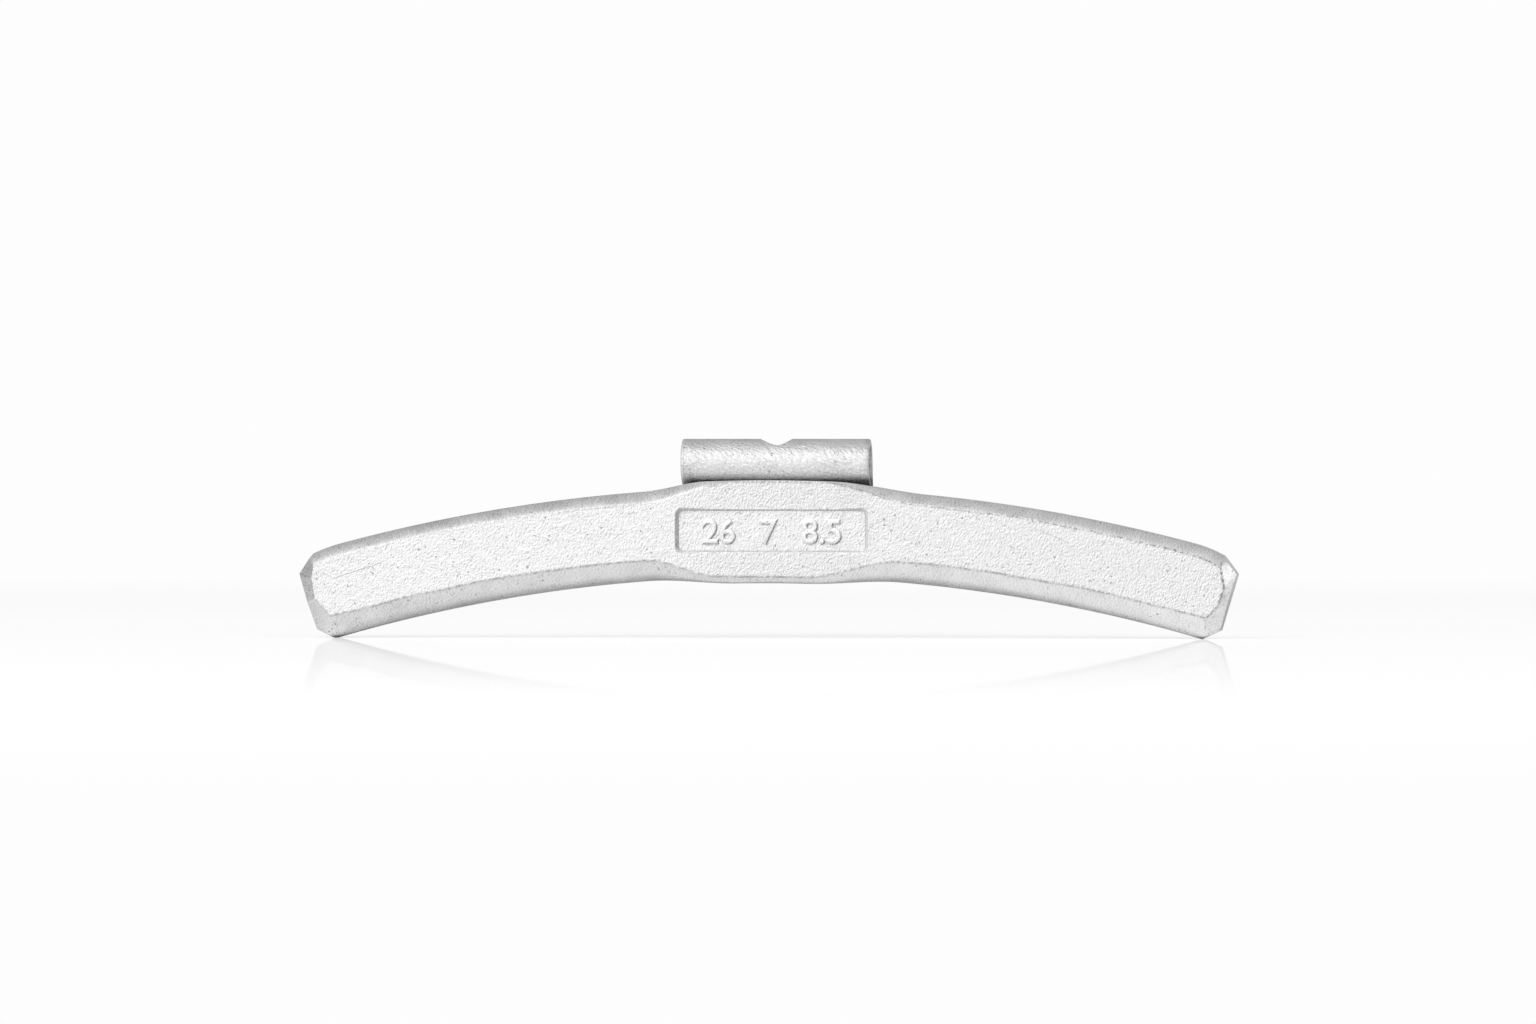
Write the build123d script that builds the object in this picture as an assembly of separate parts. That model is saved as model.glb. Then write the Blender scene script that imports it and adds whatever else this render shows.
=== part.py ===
from build123d import *
from build123d.topology import SkipClean
from math import atan, cos, degrees, radians, sin, sqrt, tan
import os

# Sizes are in millimetres and degrees. X runs along the bar, the front face looks to -Y, +Z is up.

# Curved steel bar
ARC_RADIUS = 215.2
BAR_HEIGHT = 11.65
BAR_THICK = 7.6
END_ANGLE = 16.7
END_ALLOWANCE = 1.0

# Bevels of the front face, and the rounding of the bar's long edges
TOP_BEVEL_HEIGHT = 1.4
TOP_BEVEL_DEPTH = 1.5
LOW_BEVEL_HEIGHT = 2.75
LOW_BEVEL_DEPTH = 2.1
EDGE_ROUND = 0.55
BACK_ROUND = 0.8

# Clipped corners of the two ends
TOP_CORNER_RUN = 3.0
TOP_CORNER_RISE = 2.3
LOW_CORNER_RUN = 2.0
LOW_CORNER_RISE = 1.75

# Three slanted facets that break the front face at each end
FACET_INSET = 1.2
FACET_LEAN = 26.0
FACET_SLOPE = 45.0
LOW_FACET_SLOPE = 40.0
LOW_FACET_SHARE = 0.42
TOP_FACET_SHARE = 0.63

# Pressed centre: the bar is squeezed flat here and swells up and down
PRESS_SHIFT = 0.9
PRESS_DEPTH = 0.5
PRESS_FULL = 8.0
PRESS_GONE = 14.0
SWELL_UP = 0.9
SWELL_UP_FULL = 8.6
SWELL_UP_GONE = 17.0
SWELL_DOWN = 0.95
SWELL_DOWN_FULL = 5.5
SWELL_DOWN_GONE = 16.0
PAD_TOP_EDGE = 0.3
PAD_LOW_EDGE = 0.85
LOFT_STEPS = 9

# Stamped pocket in the pressed centre
POCKET_LENGTH = 24.8
POCKET_HEIGHT = 5.5
POCKET_FLOOR_CORNER = 0.23
POCKET_DEPTH = 0.5
POCKET_DRAFT = 40.0
POCKET_SHIFT = 0.4
POCKET_TOP = 3.9

# Spring clip, bent from one strip of sheet
SHEET = 0.9
CLIP_WIDTH = 24.6
NECK_SINK = 0.9
BEND_RADIUS = 2.15
NECK_RADIUS = 0.3
NECK_ANGLE = 75.0
LEG_LENGTH = 7.0
LEG_ANGLE = 14.0
LIP_RADIUS = 1.5
LIP_ANGLE = 25.0
LIP_LENGTH = 1.2
SHEET_BREAK_SHARE = 0.4
HOLE_RADIUS = 2.1

# Slot that holds the tongue of the clip, with a seat at its mouth that the roll of the clip sits in
TONGUE_DEPTH = 7.5
REAR_WALL = 0.7
SEAT_DEPTH = 1.0
SEAT_CLEARANCE = 0.1
SLOT_SIDE_CLEARANCE = 0.15
SLOT_END_CLEARANCE = 0.15

# Places that follow from these sizes, measured from the arc's axis and from the front face
INNER_RADIUS = ARC_RADIUS - BAR_HEIGHT
MID_RADIUS = ARC_RADIUS - BAR_HEIGHT / 2
PRESS_ANGLE = degrees(PRESS_SHIFT / MID_RADIUS)
PAD_TOP = ARC_RADIUS + SWELL_UP
TONGUE_Y = BAR_THICK - REAR_WALL - SHEET / 2
BEND_MID = BEND_RADIUS + SHEET / 2
NECK_MID = NECK_RADIUS + SHEET / 2
BEND_Y = TONGUE_Y - NECK_MID * (1 - cos(radians(NECK_ANGLE))) + BEND_MID * cos(radians(NECK_ANGLE))
BEND_Z = PAD_TOP - NECK_SINK + (BEND_MID + NECK_MID) * sin(radians(NECK_ANGLE))
ROLL_RADIUS = BEND_RADIUS + SHEET
ROLL_FRONT = BEND_Y - sqrt(ROLL_RADIUS**2 - (BEND_Z - PAD_TOP) ** 2)


def ease(distance, full, gone):
    """One at the pressed centre, nothing on the arms, and a smooth change between."""
    share = min(max((gone - abs(distance)) / (gone - full), 0.0), 1.0)
    return share * share * (3 - 2 * share)


def radial_plane(angle):
    """Plane through the arc's axis: its x runs outward along the radius and its y to the back."""
    a = radians(angle)
    return Plane(origin=(0, 0, 0), x_dir=(sin(a), 0, cos(a)), z_dir=(-cos(a), 0, sin(a)))


def mix(arm, pad, share):
    """Value between that of the arm and that of the pressed centre."""
    return arm + (pad - arm) * share


def section(distance):
    """Cross-section of the bar at a distance along the arc from the pressed centre."""
    press = ease(distance, PRESS_FULL, PRESS_GONE)
    top = ARC_RADIUS + SWELL_UP * ease(distance, SWELL_UP_FULL, SWELL_UP_GONE)
    low = INNER_RADIUS - SWELL_DOWN * ease(distance, SWELL_DOWN_FULL, SWELL_DOWN_GONE)
    face = PRESS_DEPTH * press
    top_in = mix(TOP_BEVEL_HEIGHT, PAD_TOP_EDGE, press)
    top_back = mix(TOP_BEVEL_DEPTH, PAD_TOP_EDGE, press)
    low_in = mix(LOW_BEVEL_HEIGHT, PAD_LOW_EDGE, press)
    low_back = mix(LOW_BEVEL_DEPTH, PAD_LOW_EDGE, press)
    corners = [
        (top - top_in, face),
        (low + low_in, face),
        (low, face + low_back),
        (low, BAR_THICK),
        (top, BAR_THICK),
        (top, face + top_back),
    ]
    shape = make_face(Polyline(*corners, close=True))
    top_round = mix(EDGE_ROUND, PAD_TOP_EDGE / 2, press)
    rounds = [EDGE_ROUND, BACK_ROUND, BACK_ROUND, top_round]
    for corner, radius in zip(corners[2:], rounds):
        vertex = shape.vertices().sort_by_distance((corner[0], corner[1], 0))[0]
        shape = fillet(vertex, radius)
    return radial_plane(degrees(distance / MID_RADIUS) + PRESS_ANGLE) * shape


def arm(side):
    """One plain arm of the bar, turned about the arc's axis from the swelling to past its end."""
    start = side * max(SWELL_UP_GONE, SWELL_DOWN_GONE, PRESS_GONE)
    sweep = END_ANGLE + END_ALLOWANCE - side * (degrees(start / MID_RADIUS) + PRESS_ANGLE)
    return revolve(section(start), Axis.Y, side * sweep)


def end_cutter(side, inset, height, lean, slope):
    """Half space outside a plane at one end: it leans in the front view and slopes to the back."""
    a = radians(END_ANGLE)
    outward = Vector(side * cos(a), 0, -sin(a))
    upward = Vector(side * sin(a), 0, cos(a))
    along = upward * cos(radians(lean)) + outward * sin(radians(lean))
    across = outward * cos(radians(lean)) - upward * sin(radians(lean))
    normal = across * sin(radians(slope)) - Vector(0, 1, 0) * cos(radians(slope))
    point = upward * (INNER_RADIUS + height) - outward * inset
    reach = 4 * BAR_HEIGHT
    block = Box(reach, reach, reach, align=(Align.CENTER, Align.CENTER, Align.MIN))
    return Plane(origin=point, x_dir=along, z_dir=normal) * block


def end_cuts(side):
    """Cutters for the end wall, its two clipped corners and its three front facets."""
    top_lean = degrees(atan(TOP_CORNER_RUN / TOP_CORNER_RISE))
    low_lean = degrees(atan(LOW_CORNER_RUN / LOW_CORNER_RISE))
    low_facet = BAR_HEIGHT * LOW_FACET_SHARE
    top_facet = BAR_HEIGHT * TOP_FACET_SHARE
    return [
        end_cutter(side, 0, BAR_HEIGHT / 2, 0, 90),
        end_cutter(side, 0, BAR_HEIGHT - TOP_CORNER_RISE, -top_lean, 90),
        end_cutter(side, 0, LOW_CORNER_RISE, low_lean, 90),
        end_cutter(side, FACET_INSET, BAR_HEIGHT / 2, 0, FACET_SLOPE),
        end_cutter(side, FACET_INSET, top_facet, -FACET_LEAN, FACET_SLOPE),
        end_cutter(side, FACET_INSET, low_facet, FACET_LEAN, LOW_FACET_SLOPE),
    ]


def weight_bar():
    """Curved bar with its pressed centre and cut ends, before the pocket and the slot."""
    reach = max(SWELL_UP_GONE, SWELL_DOWN_GONE, PRESS_GONE)
    steps = range(-LOFT_STEPS, LOFT_STEPS + 1)
    stations = [reach * step / LOFT_STEPS for step in steps]
    bar = arm(-1) + loft([section(s) for s in stations]) + arm(1)
    for side in (-1, 1):
        for cutter in end_cuts(side):
            bar -= cutter
    return bar


def pocket():
    """Tapered punch of the stamped pocket, started a little in front of the pressed face."""
    lead = POCKET_DEPTH / 2
    slant = tan(radians(POCKET_DRAFT))
    middle = PAD_TOP - POCKET_TOP - POCKET_HEIGHT / 2
    ends = []
    for depth in (-lead, POCKET_DEPTH):
        inset = depth * slant
        corner = POCKET_FLOOR_CORNER + (POCKET_DEPTH - depth) * slant
        outline = RectangleRounded(POCKET_LENGTH - 2 * inset, POCKET_HEIGHT - 2 * inset, corner)
        middle_point = (POCKET_SHIFT, PRESS_DEPTH + depth, middle)
        ends.append(Plane(origin=middle_point, x_dir=(1, 0, 0), z_dir=(0, -1, 0)) * outline)
    return loft(ends)


def slot():
    """Slot for the tongue, as thick as the sheet, and the seat that leads into it from the top."""
    width = CLIP_WIDTH + 2 * SLOT_SIDE_CLEARANCE
    depth = TONGUE_DEPTH + SLOT_END_CLEARANCE
    back = TONGUE_Y + SHEET / 2
    corner = (Align.CENTER, Align.MAX, Align.MIN)
    narrow = Box(width, SHEET, 2 * depth, align=corner)
    seat = Box(width, back - ROLL_FRONT + SEAT_CLEARANCE, 2 * SEAT_DEPTH, align=corner)
    return Pos(PRESS_SHIFT, back, PAD_TOP) * (Pos(0, 0, -depth) * narrow + Pos(0, 0, -SEAT_DEPTH) * seat)


def spring_clip():
    """Strip bent into a hook: tongue, forward neck, bend over the top, rear leg and flared lip.

    One half of its width is made and mirrored, and the hook keeps a wall on each side of its hole.
    """
    tongue = Line((TONGUE_Y, PAD_TOP - TONGUE_DEPTH + SHEET / 2), (TONGUE_Y, PAD_TOP - NECK_SINK))
    neck = JernArc(tongue @ 1, tongue % 1, NECK_MID, NECK_ANGLE)
    bend = JernArc(neck @ 1, neck % 1, BEND_MID, -(NECK_ANGLE + 180 - LEG_ANGLE))
    leg = Line(bend @ 1, bend @ 1 + (bend % 1) * LEG_LENGTH)
    flare = JernArc(leg @ 1, leg % 1, LIP_RADIUS + SHEET / 2, LIP_ANGLE)
    lip = Line(flare @ 1, flare @ 1 + (flare % 1) * LIP_LENGTH)
    path = Wire([tongue, neck, bend, leg, flare, lip])
    strip = Plane.YZ * make_face(path.offset_2d(SHEET / 2))
    half = extrude(strip, CLIP_WIDTH / 2)
    side = half.faces().sort_by(Axis.X)[-1]
    half = chamfer(side.edges(), SHEET * SHEET_BREAK_SHARE)
    drill = Cylinder(HOLE_RADIUS, 2 * BEND_MID, align=(Align.CENTER, Align.CENTER, Align.MIN))
    half -= Pos(0, BEND_Y, BEND_Z) * drill
    with SkipClean():
        clip = half + mirror(half, about=Plane.YZ)
    return Pos(PRESS_SHIFT, 0, 0) * clip


body = weight_bar() - pocket() - slot()
clip = spring_clip()

# The weight stands on the lower corners of its two ends, with the origin under the middle of its box
box = Compound([body, clip]).bounding_box()
rest = Pos(-box.center().X, -box.center().Y, -box.min.Z)

os.makedirs("parts", exist_ok=True)
export_step(rest * body, "parts/weight_body.step")
export_step(rest * clip, "parts/spring_clip.step")
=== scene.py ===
import logging
from collections.abc import Callable
from dataclasses import dataclass, field
from enum import Enum
from math import asin, atan, cos, degrees, pi, radians, sin, tan

import bpy
import numpy as np
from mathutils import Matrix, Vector, noise


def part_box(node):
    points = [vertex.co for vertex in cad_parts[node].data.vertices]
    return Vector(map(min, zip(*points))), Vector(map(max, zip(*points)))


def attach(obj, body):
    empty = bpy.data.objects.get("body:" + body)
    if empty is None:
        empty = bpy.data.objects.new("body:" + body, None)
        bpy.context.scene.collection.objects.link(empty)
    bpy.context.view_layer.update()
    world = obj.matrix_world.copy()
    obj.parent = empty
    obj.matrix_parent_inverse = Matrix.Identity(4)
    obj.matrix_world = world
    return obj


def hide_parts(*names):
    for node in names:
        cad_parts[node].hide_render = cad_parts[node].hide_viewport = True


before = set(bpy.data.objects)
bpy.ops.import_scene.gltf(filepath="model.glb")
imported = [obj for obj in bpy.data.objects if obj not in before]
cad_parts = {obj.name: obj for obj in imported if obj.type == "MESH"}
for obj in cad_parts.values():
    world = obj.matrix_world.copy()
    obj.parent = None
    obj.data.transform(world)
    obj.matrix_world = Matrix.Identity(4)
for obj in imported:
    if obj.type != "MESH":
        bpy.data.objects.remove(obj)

logging.basicConfig(level=logging.INFO, format="%(levelname)s %(message)s")
log = logging.getLogger("wheel_weight")

MM = 0.001
BODY = "root"
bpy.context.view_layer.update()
SMOOTH_ANGLE = 38.0
BREAK_ANGLE = 60.0
MERGE_GRAIN = 0.0001 * MM
HALF_LENGTH = 60.0 * MM
VECTOR, FLOAT = "NodeSocketVector", "NodeSocketFloat"

Reach = tuple[float, float]
Socket = bpy.types.NodeSocket
Groups = dict[str, bpy.types.NodeTree]


# Shared helpers
class Side(Enum):
    """The two ends of the bar, as signs along X."""

    LEFT = -1
    RIGHT = 1


def blend(first: np.ndarray, second: np.ndarray, share: np.ndarray) -> np.ndarray:
    """Values on the way from a first to a second, at a share of that way."""
    return first + (second - first) * share


def ramp(values: np.ndarray, none: float, full: float) -> np.ndarray:
    """Share that rises straight from nothing at one value to one at another."""
    return np.clip((values - none) / (full - none), 0.0, 1.0)


def rightness(angles: np.ndarray, limit: float) -> np.ndarray:
    """Share that rises from left to right across the middle, between two limits in degrees."""
    return np.clip(angles / radians(limit), -1, 1) / 2 + 0.5


def ease(distance: np.ndarray, full: float, gone: float) -> np.ndarray:
    """Smooth share that is one near a place and nothing far from it.

    Args:
        distance: Distances from the place, of either sign.
        full: Distance up to which the share is one.
        gone: Distance from which the share is nothing.

    Returns:
        The share at each distance.
    """
    share = ramp(np.abs(distance), gone, full)
    return share * share * (3 - 2 * share)


def ease_sides(distance: np.ndarray, left: Reach, right: Reach) -> np.ndarray:
    """Smooth share like that of ease, with its own reach on each side of the place.

    Args:
        distance: Distances from the place, less than nothing on the left.
        left: Distances on the left up to which the share is one and from which it is nothing.
        right: The same on the right.

    Returns:
        The share at each distance.
    """
    return np.where(distance < 0, ease(distance, *left), ease(distance, *right))


def wander(points: np.ndarray, wavelength: float, seed: float) -> np.ndarray:
    """Smooth random values along a line or over a surface.

    Args:
        points: Places in metres, in one to three columns.
        wavelength: Size of the bumps in metres.
        seed: Offset that picks another stretch of the same noise.

    Returns:
        One value for each place, from about -1 to 1.
    """
    spread = np.zeros((len(points), 3))
    spread[:, : points.shape[1]] = points / wavelength
    spread[:, 2] += seed
    return np.array([noise.noise(Vector(place)) for place in spread])


def choose(piece: bpy.types.Object) -> None:
    """Makes a piece the active one and the only one that is selected.

    Args:
        piece: The piece, in object mode.
    """
    bpy.ops.object.select_all(action="DESELECT")
    piece.select_set(True)
    bpy.context.view_layer.objects.active = piece


def edit(piece: bpy.types.Object) -> None:
    """Chooses a piece and opens its mesh in edit mode.

    Args:
        piece: The piece.
    """
    if bpy.context.object:
        bpy.ops.object.mode_set(mode="OBJECT")
    choose(piece)
    bpy.ops.object.mode_set(mode="EDIT")


def close_edit() -> None:
    """Leaves edit mode, so that the mesh's data can be read and set."""
    bpy.ops.object.mode_set(mode="OBJECT")


def pick(piece: bpy.types.Object, domain: str, test: Callable[[object], bool]) -> None:
    """Selects the vertices or edges that pass a test, and nothing else.

    Args:
        piece: The piece in edit mode.
        domain: VERT or EDGE.
        test: Says whether an element is selected.
    """
    bpy.ops.mesh.select_mode(type=domain)
    bpy.ops.mesh.select_all(action="DESELECT")
    close_edit()
    mesh = piece.data
    for element in {"VERT": mesh.vertices, "EDGE": mesh.edges}[domain]:
        element.select = bool(test(element))
    bpy.ops.object.mode_set(mode="EDIT")
    bpy.ops.mesh.select_mode(type=domain)


def apply_modifier(piece: bpy.types.Object, kind: str, **settings: object) -> None:
    """Adds one modifier to a piece and applies it.

    Args:
        piece: The piece, in object mode.
        kind: Blender's name for the modifier.
        settings: The modifier's own values.
    """
    choose(piece)
    modifier = piece.modifiers.new(kind.lower(), kind)
    for name, value in settings.items():
        setattr(modifier, name, value)
    bpy.ops.object.modifier_apply(modifier=modifier.name)


def cut_away(piece: bpy.types.Object, tool: bpy.types.Object) -> None:
    """Cuts the shape of a tool out of a piece and removes the tool.

    Args:
        piece: The piece that is cut.
        tool: A new primitive, still the only one selected.
    """
    bpy.ops.object.transform_apply(location=True, rotation=True, scale=True)
    apply_modifier(piece, "BOOLEAN", operation="DIFFERENCE", solver="EXACT", object=tool)
    bpy.data.objects.remove(tool)


def smooth(piece: bpy.types.Object) -> None:
    """Shades a piece smooth, apart from its sharp edges."""
    choose(piece)
    bpy.ops.object.shade_smooth_by_angle(angle=radians(SMOOTH_ANGLE))


def read_rows(elements: bpy.types.bpy_prop_collection, name: str) -> np.ndarray:
    """Reads one vector of every element of a mesh.

    Args:
        elements: The mesh's vertices or faces.
        name: The vector's name.

    Returns:
        The vectors, as rows.
    """
    values = np.zeros(len(elements) * 3)
    elements.foreach_get(name, values)
    return values.reshape(-1, 3)


def write_values(mesh: bpy.types.Mesh, name: str, domain: str, values: np.ndarray) -> None:
    """Stores one value for each element of a mesh, for its material to read.

    Args:
        mesh: The piece's mesh.
        name: The values' name.
        domain: POINT, FACE or CORNER.
        values: The values in the elements' order.
    """
    layer = mesh.attributes.new(name, "FLOAT", domain)
    layer.data.foreach_set("value", values.astype(np.float32))


def seat(piece: bpy.types.Object, name: str, node: str) -> None:
    """Names a finished piece, rides it on the body and puts it in place of its CAD node.

    Args:
        piece: The finished piece, with its place in its mesh.
        name: The piece's own name.
        node: The CAD node that the piece stands for.
    """
    piece.name = name
    piece.data.name = name
    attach(piece, BODY)
    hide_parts(node)
    piece.data.calc_loop_triangles()
    log.info("%s: %d triangles", name, len(piece.data.loop_triangles))


# Nodes and the effects that both coats share
class NodeSheet:
    """A node tree with short calls for adding and joining nodes."""

    def __init__(self, tree: bpy.types.NodeTree) -> None:
        """Keeps the tree that the nodes go into."""
        self.tree = tree

    def join(self, value: object, target: Socket) -> None:
        """Links a socket to an input, or sets the input to a plain value.

        Args:
            value: The value or socket.
            target: The input.
        """
        if isinstance(value, Socket):
            self.tree.links.new(value, target)
        else:
            target.default_value = value

    def add(self, kind: str, settings: dict[str, object] | None = None, **inputs: object) -> bpy.types.Node:
        """Adds one node.

        Args:
            kind: Blender's name for the node.
            settings: Values of the node itself.
            inputs: Values or sockets for its inputs, by name with underscores for spaces, or by
                number after an underscore.

        Returns:
            The new node.
        """
        node = self.tree.nodes.new(kind)
        for name, value in (settings or {}).items():
            setattr(node, name, value)
        for name, value in inputs.items():
            key = int(name[1:]) if name[1:].isdigit() else name.replace("_", " ")
            self.join(value, node.inputs[key])
        return node

    def math(self, operation: str, first: object, second: object = 0.0, third: object = 0.0) -> Socket:
        """Adds a Math node.

        Args:
            operation: The sum that it does.
            first: Its first value or socket.
            second: Its second value or socket.
            third: Its third value or socket.

        Returns:
            The result's socket.
        """
        node = self.add("ShaderNodeMath", {"operation": operation}, _0=first, _1=second, _2=third)
        return node.outputs[0]

    def times(self, first: object, second: object) -> Socket:
        """Product of two values or sockets."""
        return self.math("MULTIPLY", first, second)

    def minus(self, first: object, second: object) -> Socket:
        """Difference of two values or sockets."""
        return self.math("SUBTRACT", first, second)

    def between(self, share: Socket, first: float, second: float) -> Socket:
        """Value on the way from a first to a second, at a share of that way."""
        return self.math("MULTIPLY_ADD", share, second - first, first)

    def span(self, value: object, low: float, high: float, start: object = 0.0, end: object = 1.0) -> Socket:
        """Maps a value smoothly from one range to another.

        Args:
            value: The value or socket.
            low: Where the range begins.
            high: Where the range ends.
            start: Result at the beginning.
            end: Result at the end.

        Returns:
            The result's socket.
        """
        node = self.add("ShaderNodeMapRange", {"interpolation_type": "SMOOTHSTEP"}, Value=value,
                        From_Min=low, From_Max=high, To_Min=start, To_Max=end)
        return node.outputs["Result"]

    def noise(self, vector: Socket, scale: object, detail: float = 2.0, rough: float = 0.5,
              twist: float = 0.0) -> Socket:
        """Adds a Noise texture.

        Args:
            vector: The coordinates' socket.
            scale: Bumps in a metre, a value or a socket.
            detail: How many finer layers it has.
            rough: How strong the finer layers are.
            twist: How far the bumps are distorted.

        Returns:
            The value's socket.
        """
        node = self.add("ShaderNodeTexNoise", None, Vector=vector, Scale=scale, Detail=detail,
                        Roughness=rough, Distortion=twist)
        return node.outputs[0]

    def vector(self, operation: str, first: object, second: object = (0.0, 0.0, 0.0)) -> bpy.types.Node:
        """Adds a Vector Math node."""
        return self.add("ShaderNodeVectorMath", {"operation": operation}, _0=first, _1=second)

    def turn(self, vector: Socket, angles: Socket, draw: object) -> Socket:
        """Turns coordinates, then draws them out along the new axes.

        Args:
            vector: The coordinates' socket.
            angles: Turns about the three axes.
            draw: Factor along each axis, less than one where a pattern is drawn out.

        Returns:
            The new coordinates.
        """
        turned = self.add("ShaderNodeVectorRotate", {"rotation_type": "EULER_XYZ"}, Vector=vector,
                          Rotation=angles)
        return self.vector("MULTIPLY", turned.outputs[0], draw).outputs[0]

    def split(self, vector: Socket) -> list[Socket]:
        """Parts of a vector along X, Y and Z."""
        return list(self.add("ShaderNodeSeparateXYZ", None, Vector=vector).outputs)

    def attribute(self, name: str) -> Socket:
        """Value that the piece's own mesh holds under a name, or nothing."""
        return self.add("ShaderNodeAttribute", {"attribute_name": name}).outputs["Fac"]

    def group(self, tree: bpy.types.NodeTree, **inputs: object) -> bpy.types.NodeOutputs:
        """Places a shared node group and gives its outputs."""
        return self.add("ShaderNodeGroup", {"node_tree": tree}, **inputs).outputs

    def tint(self, share: object, first: object, second: object, mode: str = "MIX") -> Socket:
        """Mixes two colours.

        Args:
            share: How much of the second colour shows, a value or a socket.
            first: The first colour or socket.
            second: The second colour or socket.
            mode: How they mix.

        Returns:
            The colour's socket.
        """
        node = self.add("ShaderNodeMix", {"data_type": "RGBA", "blend_type": mode},
                        _0=share, _6=first, _7=second)
        return node.outputs[2]


def grey(level: float) -> tuple[float, float, float, float]:
    """Neutral colour of one level."""
    return (level, level, level, 1.0)


def new_group(name: str, inputs: dict[str, str], outputs: list[str]) -> tuple[NodeSheet, object, object]:
    """Starts a shader node group.

    Args:
        name: The group's name.
        inputs: Socket types by name.
        outputs: Names of its value outputs.

    Returns:
        The sheet to draw on, the sockets that the group is given and those that it puts out.
    """
    tree = bpy.data.node_groups.new(name, "ShaderNodeTree")
    for socket, kind in inputs.items():
        tree.interface.new_socket(socket, in_out="INPUT", socket_type=kind)
    for socket in outputs:
        tree.interface.new_socket(socket, in_out="OUTPUT", socket_type=FLOAT)
    sheet = NodeSheet(tree)
    return sheet, sheet.add("NodeGroupInput").outputs, sheet.add("NodeGroupOutput").inputs


@dataclass(frozen=True)
class PitPattern:
    """Sparse small pits: warped cells, of which a share holds a spot."""

    warp_scale: float = 3200.0
    warp: float = 0.4 * MM
    least_size: float = 0.35
    soft_edge: Reach = (0.5, 1.0)

    def make(self) -> bpy.types.NodeTree:
        """Draws the group.

        Returns:
            A group that puts out a mask of the pits.
        """
        sheet, given, out = new_group(
            "coat_pits", {"Vector": VECTOR, "Scale": FLOAT, "Share": FLOAT, "Size": FLOAT}, ["Mask"])
        warp = sheet.add("ShaderNodeTexNoise", None, Vector=given["Vector"], Scale=self.warp_scale,
                         Detail=1.0)
        bent = sheet.add("ShaderNodeVectorMath", {"operation": "MULTIPLY_ADD"},
                         _0=warp.outputs["Color"], _1=(self.warp,) * 3, _2=given["Vector"])
        cells = sheet.add("ShaderNodeTexVoronoi", None, Vector=bent.outputs[0], Scale=given["Scale"])
        chance = sheet.add("ShaderNodeSeparateColor", None, Color=cells.outputs["Color"])
        kept = sheet.math("LESS_THAN", chance.outputs[0], given["Share"])
        size = sheet.times(given["Size"], sheet.math("ADD", chance.outputs[1], self.least_size))
        near = sheet.math("DIVIDE", cells.outputs["Distance"], size)
        spot = sheet.span(near, *self.soft_edge, 1.0, 0.0)
        sheet.join(sheet.times(spot, kept), out["Mask"])
        return sheet.tree


@dataclass(frozen=True)
class GrainPattern:
    """Fine unevenness, drawn out one way, painted shade on the sides of its bumps that face away from the
    light, and a slow change of tone.
    """

    lee_step: tuple[float, float, float] = (0.08 * MM, 0.0, -0.04 * MM)
    detail: float = 2.0
    rough: float = 0.5
    twist: float = 0.7
    cloud_scale: float = 0.09
    cloud_detail: float = 3.0

    def make(self) -> bpy.types.NodeTree:
        """Draws the group.

        Returns:
            A group that puts out a height, a painted shade on the sides of the bumps that face away from the
            light (Lee), and a slow tone.
        """
        sheet, given, out = new_group(
            "coat_grain", {"Vector": VECTOR, "Scale": FLOAT, "Turn": VECTOR, "Draw": VECTOR},
            ["Height", "Lee", "Tone"])
        lower = sheet.vector("ADD", given["Vector"], self.lee_step).outputs[0]
        heights = []
        for place in (given["Vector"], lower):
            drawn = sheet.turn(place, given["Turn"], given["Draw"])
            heights.append(sheet.noise(drawn, given["Scale"], self.detail, self.rough, self.twist))
        slow = sheet.noise(given["Vector"], sheet.times(given["Scale"], self.cloud_scale), self.cloud_detail)
        sheet.join(heights[0], out["Height"])
        # Lee: difference of two offset heights, used as painted shade and highlight in the colour, not as
        # relief.
        sheet.join(sheet.minus(*heights), out["Lee"])
        sheet.join(slow, out["Tone"])
        return sheet.tree


@dataclass(frozen=True)
class ScratchPattern:
    """Short fine scratches that run one way, in patches."""

    draw: tuple[float, float, float] = (0.07, 1.0, 1.0)
    rough: float = 0.4
    middle: float = 0.5
    width: float = 0.018
    patch_scale: float = 0.22
    patch_level: float = 0.72

    def make(self) -> bpy.types.NodeTree:
        """Draws the group.

        Returns:
            A group that puts out a mask of the scratches.
        """
        sheet, given, out = new_group(
            "fine_scratches", {"Vector": VECTOR, "Scale": FLOAT, "Turn": VECTOR, "Share": FLOAT}, ["Mask"])
        drawn = sheet.turn(given["Vector"], given["Turn"], self.draw)
        lines = sheet.noise(drawn, given["Scale"], 1.0, self.rough)
        off = sheet.math("ABSOLUTE", sheet.minus(lines, self.middle))
        thin = sheet.span(off, 0.0, self.width, 1.0, 0.0)
        patch = sheet.noise(given["Vector"], sheet.times(given["Scale"], self.patch_scale), 1.0)
        shown = sheet.math("GREATER_THAN", sheet.math("ADD", patch, given["Share"]), self.patch_level)
        sheet.join(sheet.times(thin, shown), out["Mask"])
        return sheet.tree


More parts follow.
